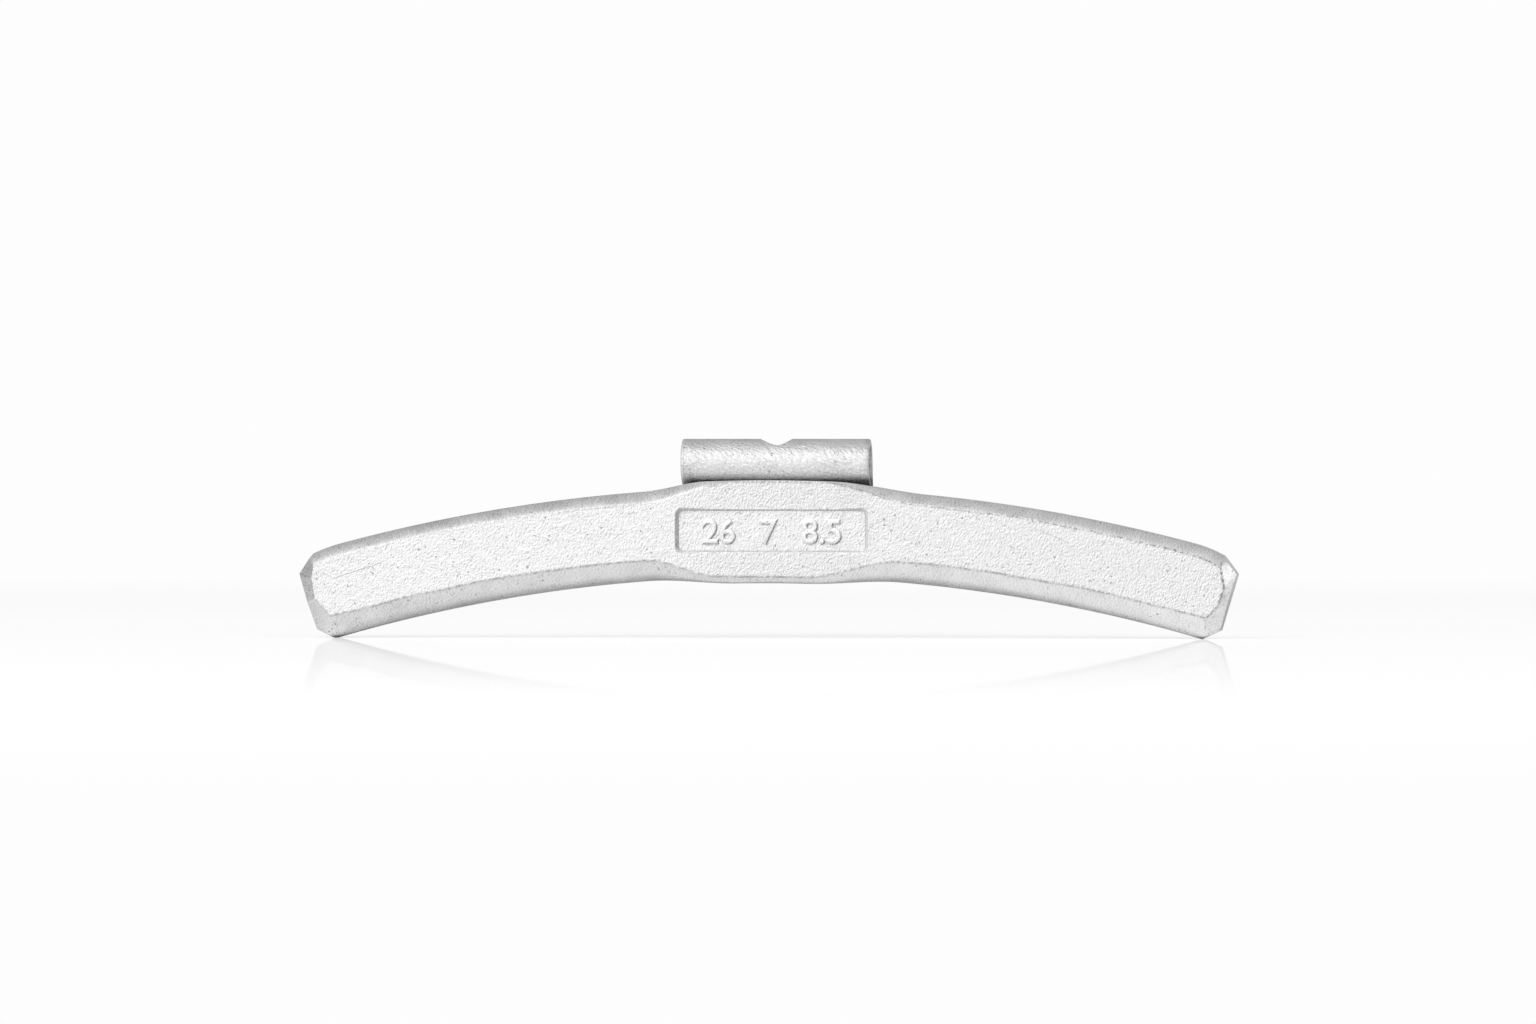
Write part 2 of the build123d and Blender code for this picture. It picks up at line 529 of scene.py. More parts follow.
# Finishes
@dataclass(frozen=True)
class Score:
    """One long fine scratch in the front view, which fades in from its start."""

    start: tuple[float, float]
    angle: float
    length: float
    width: float
    fade_in: float = 0.4
    fade_out: float = 0.9
    core: float = 0.3

    def mask(self, sheet: NodeSheet, place: Socket) -> Socket:
        """Draws the scratch.

        Args:
            sheet: The material's nodes.
            place: The object coordinates.

        Returns:
            One in the scratch and nothing elsewhere.
        """
        centre = (self.start[0], 0.0, self.start[1])
        turned = sheet.add("ShaderNodeVectorRotate", {"rotation_type": "Y_AXIS"}, Vector=place,
                           Center=centre, Angle=radians(self.angle))
        along, _, across = sheet.split(turned.outputs[0])
        run = sheet.minus(along, self.start[0])
        shown = sheet.times(sheet.span(run, 0.0, self.fade_in * self.length),
                            sheet.span(run, self.fade_out * self.length, self.length, 1.0, 0.0))
        off = sheet.math("ABSOLUTE", sheet.minus(across, self.start[1]))
        return sheet.times(shown, sheet.span(off, self.core * self.width, self.width, 1.0, 0.0))


@dataclass
class CoatParts:
    """Sockets that the colour and the relief of one coat share."""

    place: Socket
    pebbled: Socket
    height: Socket
    lee: Socket
    cloud: Socket
    holes: Socket
    scratches: Socket
    dark_edge: Socket


@dataclass(frozen=True)
class CoatFinish:
    """Satin zinc-grey coat on steel, with ripples, pits, scratches and worn edges, and painted shade and
    highlights in its tone.
    """

    name: str
    colour: float
    metallic: float
    rough: float
    grain_scale: float
    grain_turn: float
    grain_draw: float
    grain_depth: float
    pebble_depth: float
    pit_scale: float
    pit_share: float
    scratch_turn: float
    scratch_share: float
    scores: tuple[Score, ...]
    pit_size: float = 0.07
    speck_fineness: float = 3.1
    speck_number: float = 4.0
    speck_size: float = 0.28
    scratch_scale: float = 2600.0
    score_strength: float = 0.6
    dot_scale: float = 1900.0
    dot_rough: float = 0.6
    dot_levels: Reach = (0.42, 0.62)
    dot_least: float = 0.3
    rim_depths: Reach = (-6.1 * MM, -5.95 * MM)
    cloud_middle: float = 0.55
    cloud_tone: float = 0.4
    pebble_cloud: float = 0.1
    # The valley, lee, fade and foot values paint light and shade into the colour: painted shade in the
    # ripples' hollows and on their sides away from the light, a painted light gradient from left to right
    # and painted contact shadow at the feet.
    valley_levels: Reach = (0.26, 0.4)
    valley_tone: float = 0.68
    lee_tone: float = 1.75
    plain_lee: float = 1.3
    fade: Reach = (0.05, -0.08)
    foot_tone: float = 0.15
    foot_rise: float = 0.6 * MM
    scratch_tone: float = 0.5
    scratch_strength: float = 0.3
    pit_colour: float = 0.3
    edge_colour: float = 0.16
    mark_strength: float = 0.85
    rough_middle: float = 0.5
    rough_change: float = 0.25
    hole_depth: float = -0.9
    scratch_depth: float = -0.25
    edge_depth: float = -0.6
    bump_depth: float = 0.02 * MM

    def parts(self, sheet: NodeSheet, groups: Groups) -> CoatParts:
        """Draws the masks and heights that the colour and the relief share.

        Args:
            sheet: The material's nodes.
            groups: The shared node groups by name.

        Returns:
            The sockets.
        """
        place = sheet.add("ShaderNodeTexCoord").outputs["Object"]
        grain = sheet.group(groups["grain"], Vector=place, Scale=self.grain_scale,
                            Turn=(0.0, radians(self.grain_turn), 0.0), Draw=(self.grain_draw, 1.0, 1.0))
        pits = sheet.group(groups["pits"], Vector=place, Scale=self.pit_scale, Share=self.pit_share,
                           Size=self.pit_size)
        specks = sheet.group(groups["pits"], Vector=place, Scale=self.speck_fineness * self.pit_scale,
                             Share=self.speck_number * self.pit_share, Size=self.speck_size)
        scratches = sheet.group(groups["scratches"], Vector=place, Scale=self.scratch_scale,
                                Turn=(0.0, radians(self.scratch_turn), 0.0), Share=self.scratch_share)
        holes = sheet.math("MAXIMUM", pits["Mask"], specks["Mask"])
        for score in self.scores:
            line = sheet.times(score.mask(sheet, place), self.score_strength)
            holes = sheet.math("MAXIMUM", holes, line)
        return CoatParts(
            place=place, pebbled=sheet.attribute("pebbled"), height=grain["Height"], lee=grain["Lee"],
            cloud=grain["Tone"], holes=holes, scratches=scratches["Mask"],
            dark_edge=self.dark_edge(sheet, place))

    def dark_edge(self, sheet: NodeSheet, place: Socket) -> Socket:
        """Draws the worn edges as broken dark lines.

        Args:
            sheet: The material's nodes.
            place: The object coordinates.

        Returns:
            One on a worn edge and nothing elsewhere.
        """
        dots = sheet.noise(place, self.dot_scale, rough=self.dot_rough)
        dots = sheet.span(dots, *self.dot_levels, self.dot_least, 1.0)
        _, back, _ = sheet.split(place)
        rim = sheet.times(sheet.attribute("rimmed"), sheet.span(back, *self.rim_depths, 1.0, 0.0))
        worn = sheet.math("ADD", sheet.attribute("edge_line"), rim)
        return sheet.math("MINIMUM", sheet.times(worn, dots), 1.0)

    def tone(self, sheet: NodeSheet, parts: CoatParts) -> Socket:
        """Draws the changes of tone: clouds, painted shade in the ripples' hollows and on their sides away
        from the light, the painted shade and highlights stored on the mesh, a painted light gradient along
        the bar and painted contact shadow at the feet.

        Args:
            sheet: The material's nodes.
            parts: The coat's shared sockets.

        Returns:
            The factor on the coat's own colour.
        """
        cloud = sheet.between(parts.pebbled, self.cloud_tone, self.pebble_cloud)
        tone = sheet.math("MULTIPLY_ADD", sheet.minus(parts.cloud, self.cloud_middle), cloud, 1.0)
        # Painted shade in the hollows of the ripples.
        valley = sheet.span(parts.height, *self.valley_levels, 1.0 - self.valley_tone, 0.0)
        tone = sheet.times(tone, sheet.minus(1.0, sheet.times(parts.pebbled, valley)))
        lee = sheet.times(sheet.between(parts.pebbled, self.plain_lee, self.lee_tone), parts.lee)
        # Painted shade and highlights from the mesh, plus painted shade on the ripples' sides away from the
        # light; less than nothing is a painted highlight.
        shading = sheet.math("ADD", sheet.attribute("painted_shading"), lee)
        tone = sheet.times(tone, sheet.minus(1.0, shading))
        across, _, up = sheet.split(parts.place)
        # Painted light gradient: the face is brighter on the left and darker on the right.
        fade = sheet.times(parts.pebbled, sheet.span(across, -HALF_LENGTH, HALF_LENGTH, *self.fade))
        tone = sheet.times(tone, sheet.math("ADD", 1.0, fade))
        # Painted contact shadow: darker in the lowest part near the floor.
        tone = sheet.times(tone, sheet.span(up, 0.0, self.foot_rise, self.foot_tone, 1.0))
        return sheet.math("MINIMUM", tone, 1.0 / self.colour)

    def make(self, groups: Groups) -> bpy.types.Material:
        """Draws the material.

        Args:
            groups: The shared node groups by name.

        Returns:
            The new material.
        """
        material = bpy.data.materials.new(self.name)
        material.use_nodes = True
        sheet = NodeSheet(material.node_tree)
        shader = material.node_tree.nodes["Principled BSDF"].inputs
        parts = self.parts(sheet, groups)
        colour = sheet.tint(1.0, grey(self.colour), self.tone(sheet, parts), "MULTIPLY")
        relief = sheet.between(parts.pebbled, self.grain_depth, self.pebble_depth)
        relief = sheet.times(parts.height, relief)
        layers = [
            (parts.scratches, self.scratch_strength, self.scratch_tone * self.colour, self.scratch_depth),
            (parts.holes, self.mark_strength, self.pit_colour, self.hole_depth),
            (parts.dark_edge, self.mark_strength, self.edge_colour, self.edge_depth),
        ]
        for mask, strength, level, depth in layers:
            colour = sheet.tint(sheet.times(mask, strength), colour, grey(level))
            relief = sheet.math("MULTIPLY_ADD", mask, depth, relief)
        rough = sheet.math("MULTIPLY_ADD", sheet.minus(parts.cloud, self.rough_middle), self.rough_change,
                           self.rough)
        bump = sheet.add("ShaderNodeBump", None, Strength=1.0, Distance=self.bump_depth, Height=relief)
        sheet.join(colour, shader["Base Color"])
        sheet.join(rough, shader["Roughness"])
        sheet.join(self.metallic, shader["Metallic"])
        sheet.join(bump.outputs["Normal"], shader["Normal"])
        return material


CLIP_SCORE = Score(start=(-11.05 * MM, 19.6 * MM), angle=90.0, length=6.0 * MM, width=0.07 * MM)
RIGHT_SCORE = Score(start=(34.2 * MM, 14.7 * MM), angle=-22.8, length=6.1 * MM, width=0.06 * MM)
LEFT_SCORE = Score(start=(-58.8 * MM, 7.0 * MM), angle=18.0, length=9.6 * MM, width=0.09 * MM)
BODY_COAT = CoatFinish(
    name="body_coat", colour=0.88, metallic=0.5, rough=0.38, grain_scale=4200.0, grain_turn=60.0,
    grain_draw=0.72, grain_depth=1.0, pebble_depth=4.5, pit_scale=700.0, pit_share=0.06,
    scratch_turn=12.0, scratch_share=0.12, scores=(LEFT_SCORE, RIGHT_SCORE))
CLIP_COAT = CoatFinish(
    name="clip_coat", colour=0.805, metallic=0.56, rough=0.44, grain_scale=2800.0, grain_turn=-40.0,
    grain_draw=0.45, grain_depth=8.0, pebble_depth=8.0, pit_scale=900.0, pit_share=0.09,
    scratch_turn=-48.0, scratch_share=0.2, scores=(CLIP_SCORE,))


# The bar
@dataclass(frozen=True)
class PlaneCut:
    """One plane that cuts an end of the bar.

    It passes at an inset from the end wall and at a height above the bar's low edge. It leans
    in the front view and slopes to the back by angles in degrees, and 90 cuts straight through.
    """

    inset: float
    height: float
    lean: float
    slope: float = 90.0


@dataclass(frozen=True)
class EndCut:
    """Three slanted facets that break the front face at one end.

    Each facet is set by how far it reaches in from the end wall, where it turns along the
    wall, how it leans in the front view and how it slopes to the back. The shades are the
    painted shade of the middle, the top and the low facet; less than nothing is a painted highlight.
    """

    inset: float
    top_inset: float
    low_inset: float
    top_lean: float = 26.0
    low_lean: float = 26.0
    mid_lean: float = 0.0
    slope: float = 45.0
    low_slope: float = 40.0
    low_share: float = 0.42
    top_share: float = 0.63
    droop: float = 0.85 * MM
    low_lift: float = 0.0
    # Painted shade of each facet; less than nothing is a painted highlight.
    shades: tuple[float, float, float] = (0.0, 0.0, 0.0)
    rim: float = 0.3
    edge_wear: float = 0.5


@dataclass(frozen=True)
class PaintedShade:
    """How far painted shade darkens parts of the bar and how much darker the pressed centre is; less than
    nothing is a painted highlight.

    A slope is a range of the normal's upward part, and a place or a reach is a range in metres,
    each from no effect to the full effect.
    """

    # Painted shade in the pocket and on the numbers, on sides that face away from the light, and a painted
    # dark line at the foot of the lit walls.
    pocket: float = 0.62
    number: float = 1.35
    wall_foot: float = 0.3
    wall_foot_rise: float = 0.3 * MM
    lee_x: float = 0.8
    lee_z: float = -0.45
    lit_least: float = -0.3
    # Painted shade on the arms' top bevels where they face up, stronger on the left arm.
    top: float = 0.17
    top_slope: Reach = (0.3, 0.9)
    top_part: float = 1 / 3
    arm_place: Reach = (12.0 * MM, 20.0 * MM)
    left: float = 0.04
    left_slope: Reach = (0.04, 0.16)
    # Painted shade under the two ends, near the floor.
    end: float = 0.4
    end_slope: Reach = (-0.6, -0.9)
    # Painted highlight along the ridge of the left shoulder.
    ridge: float = -0.12
    ridge_reach: Reach = (0.33 * MM, 0.11 * MM)
    # How much darker the face of the pressed centre is.
    pad: float = 0.055
    # Painted brightening of the low bevel, fading out on the far left.
    low: float = -0.06
    low_slopes: Reach = (-0.9, -0.4)
    low_place: Reach = (-45.0 * MM, -25.0 * MM)


@dataclass(frozen=True)
class FacingLimits:
    """Parts of a normal that tell the bar's surfaces apart: towards the back, or to the side."""

    face: float = -0.86
    pocket_wall: float = -0.9
    ridge: float = -0.4
    low_bevel: float = -0.3
    top_bevel: float = -0.1
    side: float = 0.35
    same_way: float = 0.99


@dataclass
class BarFaces:
    """The faces of the finished bar's mesh, as arrays.

    Angles and radii are about the arc's axis, and punch is how deep the pocket's punch goes.
    """

    places: np.ndarray
    normals: np.ndarray
    angles: np.ndarray
    radii: np.ndarray
    punch: np.ndarray
    front: np.ndarray
    raised: np.ndarray


@dataclass
class WeightBody:
    """Curved steel bar: bevelled front, pressed centre with a stamped pocket, cut ends."""

    arc_radius: float = 215.2 * MM
    height: float = 11.65 * MM
    thick: float = 7.6 * MM
    end_angle: float = 16.7
    spare_angle: float = 0.5
    side_blend: float = 4.0
    top_bevel: Reach = (1.4 * MM, 1.5 * MM)
    low_bevel: Reach = (2.75 * MM, 2.1 * MM)
    left_top_bevel: float = 1.62 * MM
    pad_top_bevel: float = 0.1 * MM
    pad_low_bevel: float = 0.85 * MM
    least_bevels: Reach = (0.2 * MM, 0.3 * MM)
    left_top_bow: float = 1.27
    right_top_bow: float = 1.25
    low_round: float = 3.3 * MM
    pad_low_round: float = 1.0 * MM
    end_low_round: float = 1.0 * MM
    end_round_reach: float = 8.0 * MM
    back_round: float = 0.8 * MM

    top_corner: Reach = (3.0 * MM, 2.3 * MM)
    low_corner: Reach = (2.0 * MM, 1.75 * MM)
    droop_reach: float = 6.4 * MM
    droop_limit: float = 1.1
    ends: dict[Side, EndCut] = field(
        default_factory=lambda: {
            Side.LEFT: EndCut(
                1.25 * MM, 1.4 * MM, 1.0 * MM, mid_lean=-8.0, top_share=0.68, low_share=0.52,
                low_slope=46.0, low_lift=0.4 * MM, shades=(0.12, 0.3, -0.1)),
            Side.RIGHT: EndCut(
                1.0 * MM, 1.0 * MM, 1.0 * MM, low_slope=49.0, droop=1.2 * MM,
                shades=(0.1, 0.0, 0.0), rim=1.0, edge_wear=2.4),
        }
    )

    press_shift: float = 0.9 * MM
    press_depth: float = 0.5 * MM
    press_reach: Reach = (8.0 * MM, 14.0 * MM)
    upright_reach: Reach = (13.5 * MM, 22.0 * MM)
    swell_up: float = 0.9 * MM
    swell_up_reach: tuple[Reach, Reach] = ((8.6 * MM, 17.0 * MM), (7.5 * MM, 19.5 * MM))
    swell_down: float = 0.83 * MM
    swell_down_reach: Reach = (4.5 * MM, 16.5 * MM)
    top_bevel_reach: tuple[Reach, Reach] = ((3.0 * MM, 15.5 * MM), (5.0 * MM, 17.0 * MM))
    low_bevel_reach: tuple[Reach, Reach] = ((7.5 * MM, 17.0 * MM), (4.5 * MM, 17.5 * MM))

    pocket_length: float = 24.75 * MM
    pocket_height: float = 5.6 * MM
    pocket_corner: float = 0.8 * MM
    pocket_depth: float = 0.5 * MM
    pocket_draft: float = 25.0
    pocket_shift: float = 0.83 * MM
    pocket_top: float = 3.75 * MM

    numbers: dict[str, float] = field(
        default_factory=lambda: {"26": -6.1 * MM, "7": 0.35 * MM, "8.5": 7.35 * MM})
    number_height: float = 3.2 * MM
    number_cap: float = 0.73
    number_base: float = 12.4 * MM
    number_weight: float = -0.012
    number_rise: float = 0.12 * MM
    number_round: float = 0.2 * MM
    number_round_steps: int = 1
    number_curve_steps: int = 5

    slot_size: tuple[float, float, float] = (24.9 * MM, 0.9 * MM, 7.65 * MM)
    seat_size: tuple[float, float, float] = (24.9 * MM, 2.39 * MM, 1.0 * MM)
    slot_rear_wall: float = 0.7 * MM

    arm_columns: int = 285
    wall_columns: int = 6
    pocket_columns: int = 150
    low_round_rows: int = 8
    low_bevel_rows: int = 9
    top_bevel_rows: int = 11
    low_face_rows: int = 19
    wall_rows: int = 4
    pocket_rows: int = 28
    top_face_rows: int = 19
    wall_start: float = 3.9 * MM
    wall_steps: int = 4
    round_steps: int = 5
    back_cuts: int = 5
    touch: float = 0.001 * MM

    edge_wander: Reach = (0.16 * MM, 0.05 * MM)
    edge_wavelength: Reach = (7.0 * MM, 0.9 * MM)
    edge_seeds: Reach = (3.1, 17.7)
    edge_calm: float = 0.6
    torn_power: int = 4
    peel_height: float = 0.04 * MM
    peel_size: float = 0.8 * MM
    bevel_peel: float = 0.18
    face_swell: float = 0.03 * MM
    face_swell_size: float = 9.0 * MM
    face_swell_seed: float = 5.0

    painted_shade: PaintedShade = PaintedShade()
    facing: FacingLimits = FacingLimits()
    number_pebble: float = 0.15
    number_least: float = 0.08 * MM
    floor_spare: float = 0.1 * MM
    floor_edge: float = 0.01 * MM
    near_plane: float = 0.02 * MM
    shoulder_place: float = -11.0 * MM
    shoulder_reach: Reach = (2.0 * MM, 5.0 * MM)
    edge_reach: float = 0.24 * MM
    low_wear: float = 0.8
    top_wear: Reach = (0.1, 1.2)
    below_wear: float = 0.3

    def __post_init__(self) -> None:
        """Works out the places that follow from the sizes and from the CAD node's box."""
        low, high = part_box("weight_body")
        self.inner_radius = self.arc_radius - self.height
        self.mid_radius = self.arc_radius - self.height / 2
        self.press_angle = self.press_shift / self.mid_radius
        self.pad_top = self.arc_radius + self.swell_up
        self.axis_x = (low.x + high.x) / 2
        self.axis_z = high.z - self.pad_top
        self.back_y = high.y
        self.front_y = high.y - self.thick
        self.wall_slant = tan(radians(self.pocket_draft))
        self.wall_run = self.pocket_depth * self.wall_slant
        self.wall_spare = self.press_depth * self.wall_slant
        self.pocket_floor = self.press_depth + self.pocket_depth
        self.pocket_mid = self.pad_top - self.pocket_top - self.pocket_height / 2
        self.floor_y = self.front_y + self.pocket_floor

    def column_angles(self) -> np.ndarray:
        """Angles of the mesh columns, with columns on the lines of the pocket's end walls.

        Returns:
            The angles about the arc's axis, from left to right.
        """
        end = radians(self.end_angle + self.spare_angle)
        half = self.pocket_length / 2
        edge, foot = half + self.wall_spare, half - self.wall_run
        lines = [-edge, -foot, foot, edge]
        marks = [asin((self.pocket_shift + x) / self.mid_radius) for x in lines]
        marks = [-end, *marks, end]
        counts = [self.arm_columns, self.wall_columns, self.pocket_columns,
                  self.wall_columns, self.arm_columns]
        runs = [np.linspace(a, b, n, endpoint=False) for a, b, n in zip(marks, marks[1:], counts)]
        return np.concatenate([*runs, [end]])

    def from_pad(self, angles: np.ndarray) -> np.ndarray:
        """Distances along the bar from the middle of the pressed centre."""
        return (angles - self.press_angle) * self.mid_radius

    def from_end(self, angles: np.ndarray) -> np.ndarray:
        """Distances along the bar from the nearer end."""
        return (radians(self.end_angle) - np.abs(angles)) * self.mid_radius

    def uprightness(self, angles: np.ndarray) -> np.ndarray:
        """Share by which the mesh columns stand upright and not radial."""
        return ease(angles * self.mid_radius, *self.upright_reach)

    def shoulder(self, angles: np.ndarray) -> np.ndarray:
        """Share of the left shoulder, where a painted highlight runs along the top edge of the face in place
        of its dark worn line.
        """
        return ease(angles * self.mid_radius - self.shoulder_place, *self.shoulder_reach)

    def heading(self, angles: np.ndarray) -> tuple[np.ndarray, np.ndarray]:
        """Foot and direction of each mesh column: upright in the pressed centre, radial on the arms.

        Args:
            angles: The columns' angles about the arc's axis.

        Returns:
            Points on the middle arc and unit directions, as x and z.
        """
        radial = np.stack([np.sin(angles), np.cos(angles)], axis=1)
        upright = self.uprightness(angles)[:, None]
        lines = radial * (1 - upright) + np.array([0.0, 1.0]) * upright
        return radial * self.mid_radius, lines / np.linalg.norm(lines, axis=1, keepdims=True)

    def raggedness(self, angles: np.ndarray, seed: float) -> np.ndarray:
        """Unevenness of one long edge of the face: a slow wave and a fine one, calmer in the centre.

        Args:
            angles: The columns' angles about the arc's axis.
            seed: Picks the edge's own waves.

        Returns:
            How far the edge is off its line at each column.
        """
        line = (angles * self.mid_radius)[:, None]
        waves = [size * wander(line, wave, seed + wave)
                 for size, wave in zip(self.edge_wander, self.edge_wavelength)]
        return sum(waves) * (1 - self.edge_calm * ease(self.from_pad(angles), *self.press_reach))

    def edges(self, angles: np.ndarray) -> dict[str, np.ndarray]:
        """Radii, depths and bows of the bar's long edges at each column.

        Args:
            angles: The columns' angles about the arc's axis.

        Returns:
            Arrays by name: the top and low wall, the two ragged edges of the face, the bevels'
            heights without that raggedness, the depth of the pressed face, the bevels' depths,
            the top bevel's bow and the low edge's round.
        """
        along = self.from_pad(angles)
        top_press = ease_sides(along, *self.top_bevel_reach)
        low_press = ease_sides(along, *self.low_bevel_reach)
        top = self.arc_radius + self.swell_up * ease_sides(along, *self.swell_up_reach)
        low = self.inner_radius - self.swell_down * ease(along, *self.swell_down_reach)
        lift = np.zeros_like(angles)
        for side, end in self.ends.items():
            to_end = radians(self.end_angle) - side.value * angles
            near_end = np.clip(1 - to_end * self.mid_radius / self.droop_reach, 0, self.droop_limit) ** 2
            top -= end.droop * near_end
            lift += end.low_lift * near_end
        sharp = ease(self.from_end(angles), 0.0, self.end_round_reach)
        arm_round = blend(self.low_round, self.end_low_round, sharp)
        right = rightness(angles, self.side_blend)
        arm_in = blend(self.left_top_bevel, self.top_bevel[0], right)
        top_in = blend(arm_in, self.pad_top_bevel, top_press)
        low_in = blend(self.low_bevel[0], self.pad_low_bevel, low_press) + lift
        top_torn, low_torn = (self.raggedness(angles, seed) for seed in self.edge_seeds)
        return {
            "top": top,
            "low": low,
            "top_face": top - np.maximum(top_in + top_torn, self.least_bevels[0]),
            "low_face": low + np.maximum(low_in + low_torn, self.least_bevels[1]),
            "top_in": top_in,
            "low_in": low_in,
            "face": self.press_depth * ease(along, *self.press_reach),
            "top_depth": blend(self.top_bevel[1], self.pad_top_bevel, top_press),
            "low_depth": blend(self.low_bevel[1], self.pad_low_bevel, low_press),
            "top_bow": blend(self.left_top_bow, self.right_top_bow, right),
            "low_round": blend(arm_round, self.pad_low_round, low_press),
        }

    def pocket_lines(self, angles: np.ndarray, edges: dict[str, np.ndarray]) -> list[np.ndarray]:
        """Radii of the mesh rows that carry the pocket's long walls, from the lowest up.

        Args:
            angles: The columns' angles about the arc's axis.
            edges: The bar's long edges at those columns.

        Returns:
            The low wall's edge and foot, then the top wall's foot and edge.
        """
        feet, lines = self.heading(angles)
        upright = self.uprightness(angles)
        half = self.pocket_height / 2
        pad_low = self.inner_radius - self.swell_down + self.pad_low_bevel
        pad_rise = self.height + self.swell_up + self.swell_down - self.pad_top_bevel - self.pad_low_bevel
        rows = []
        for place in (-half, self.wall_run - half, half - self.wall_run, half):
            level = self.pocket_mid + place
            reach = (level - feet[:, 1]) / lines[:, 1]
            straight = np.linalg.norm(feet + lines * reach[:, None], axis=1)
            curved = blend(edges["low_face"], edges["top_face"], (level - pad_low) / pad_rise)
            rows.append(blend(curved, straight, upright))
        return rows

    def rows(self, angles: np.ndarray) -> tuple[np.ndarray, np.ndarray]:
        """Radius and depth of every mesh row at every column, from the low wall to the top wall.

        Args:
            angles: The columns' angles about the arc's axis.

        Returns:
            Two arrays of rows by columns: radii, and depths behind the arms' front face.
        """
        edges = self.edges(angles)
        radii, depths = [], []
        rise = edges["low_in"]
        low_torn = edges["low_face"] - edges["low"] - rise
        top_torn = edges["top_face"] - edges["top"] + edges["top_in"]
        bend = np.arctan2(rise, edges["low_depth"])
        reach = edges["low_round"] * np.tan(bend / 2)
        for step in range(self.low_round_rows):
            turn = bend * step / self.low_round_rows
            radii.append(edges["low"] + edges["low_round"] * (1 - np.cos(turn)))
            depths.append(edges["face"] + edges["low_depth"] + reach - edges["low_round"] * np.sin(turn))
        start = edges["low_round"] * (1 - np.cos(bend)) / rise
        for step in range(self.low_bevel_rows):
            share = start + (1 - start) * step / self.low_bevel_rows
            radii.append(edges["low"] + rise * share + low_torn * share**self.torn_power)
            depths.append(edges["face"] + edges["low_depth"] * (1 - share))
        marks = [edges["low_face"], *self.pocket_lines(angles, edges), edges["top_face"]]
        counts = [self.low_face_rows, self.wall_rows, self.pocket_rows, self.wall_rows, self.top_face_rows]
        for lower, upper, count in zip(marks, marks[1:], counts):
            for step in range(count):
                radii.append(lower + (upper - lower) * step / count)
                depths.append(edges["face"])
        for step in range(self.top_bevel_rows + 1):
            turn = pi / 2 * step / self.top_bevel_rows
            out = np.sin(turn) ** (2 / edges["top_bow"])
            back = 1 - np.cos(turn) ** (2 / edges["top_bow"])
            torn = top_torn * (1 - out) ** self.torn_power
            radii.append(edges["top"] - edges["top_in"] * (1 - out) + torn)
            depths.append(edges["face"] + edges["top_depth"] * back)
        return np.array(radii), np.array(depths)

    def punch_depth(self, x: np.ndarray, z: np.ndarray) -> np.ndarray:
        """Depth of the punch that stamps the pocket, with its flat end and its slanted sides.

        Args:
            x: Places along the bar, from the arc's axis.
            z: Places up from the arc's axis.

        Returns:
            Depth behind the arms' front face, less than nothing outside the pocket.
        """
        reach_x = np.abs(x - self.pocket_shift) - (self.pocket_length / 2 - self.pocket_corner)
        reach_z = np.abs(z - self.pocket_mid) - (self.pocket_height / 2 - self.pocket_corner)
        outside = np.hypot(np.maximum(reach_x, 0), np.maximum(reach_z, 0))
        inside = np.minimum(np.maximum(reach_x, reach_z), 0)
        from_edge = self.pocket_corner - (outside + inside)
        return self.pocket_floor - np.maximum(self.wall_run - from_edge, 0) / self.wall_slant

    def front_sheet(self) -> bpy.types.Object:
        """Front of the bar: a grid, curved to the arc and pressed to the relief of the front.

        Returns:
            The open sheet, a little longer than the bar.
        """
        angles = self.column_angles()
        radii, depths = self.rows(angles)
        feet, lines = self.heading(angles)
        row_count, column_count = radii.shape
        bpy.ops.object.select_all(action="DESELECT")
        bpy.ops.mesh.primitive_grid_add(
            x_subdivisions=column_count - 1, y_subdivisions=row_count - 1, size=1.0)
        piece = bpy.context.object
        inner = np.sum(feet * lines, axis=1)
        reach = np.sqrt(inner**2 - self.mid_radius**2 + radii**2) - inner
        x = feet[:, 0] + lines[:, 0] * reach
        z = feet[:, 1] + lines[:, 1] * reach
        on_face = np.zeros_like(x)
        on_face[self.low_round_rows + self.low_bevel_rows : row_count - self.top_bevel_rows] = 1.0
        flat = np.stack([x.ravel(), z.ravel()], axis=1)
        swell = self.face_swell * wander(flat, self.face_swell_size, self.face_swell_seed).reshape(x.shape)
        depth = np.maximum(depths + np.maximum(swell, 0) * on_face, self.punch_depth(x, z))
        places = np.stack([x + self.axis_x, depth + self.front_y, z + self.axis_z], axis=-1)
        piece.data.vertices.foreach_set("co", places.reshape(-1).astype(np.float32))
        group = piece.vertex_groups.new(name="peel")
        for row in range(row_count):
            ring = range(row * column_count, (row + 1) * column_count)
            group.add(list(ring), 1.0 if on_face[row, 0] else self.bevel_peel, "REPLACE")
        return piece

    def peel(self, piece: bpy.types.Object) -> None:
        """Presses the uneven skin of the coat into the front.

        Args:
            piece: The open front sheet.
        """
        skin = bpy.data.textures.new("peel", "STUCCI")
        skin.noise_scale = self.peel_size
        apply_modifier(piece, "DISPLACE", texture=skin, strength=self.peel_height, mid_level=0.0,
                       direction="Y", texture_coords="LOCAL", vertex_group="peel")

    def close_back(self, piece: bpy.types.Object) -> None:
        """Draws the two long edges back, round the rear edges, and closes the rear face.

        Args:
            piece: The open front sheet.
        """
        count = len(self.column_angles())
        last = len(piece.data.vertices) - count
        edit(piece)
        self.draw_wall(piece, range(count), self.inner_radius, 1)
        self.draw_wall(piece, range(last, last + count), self.arc_radius, -1)
        close_edit()
        rear = self.back_y - self.touch
        on_rear = [vertex.co.y > rear for vertex in piece.data.vertices]
        edit(piece)
        pick(piece, "EDGE", lambda edge: all(on_rear[v] for v in edge.vertices))
        bpy.ops.mesh.bridge_edge_loops(number_cuts=self.back_cuts, interpolation="LINEAR")
        close_edit()

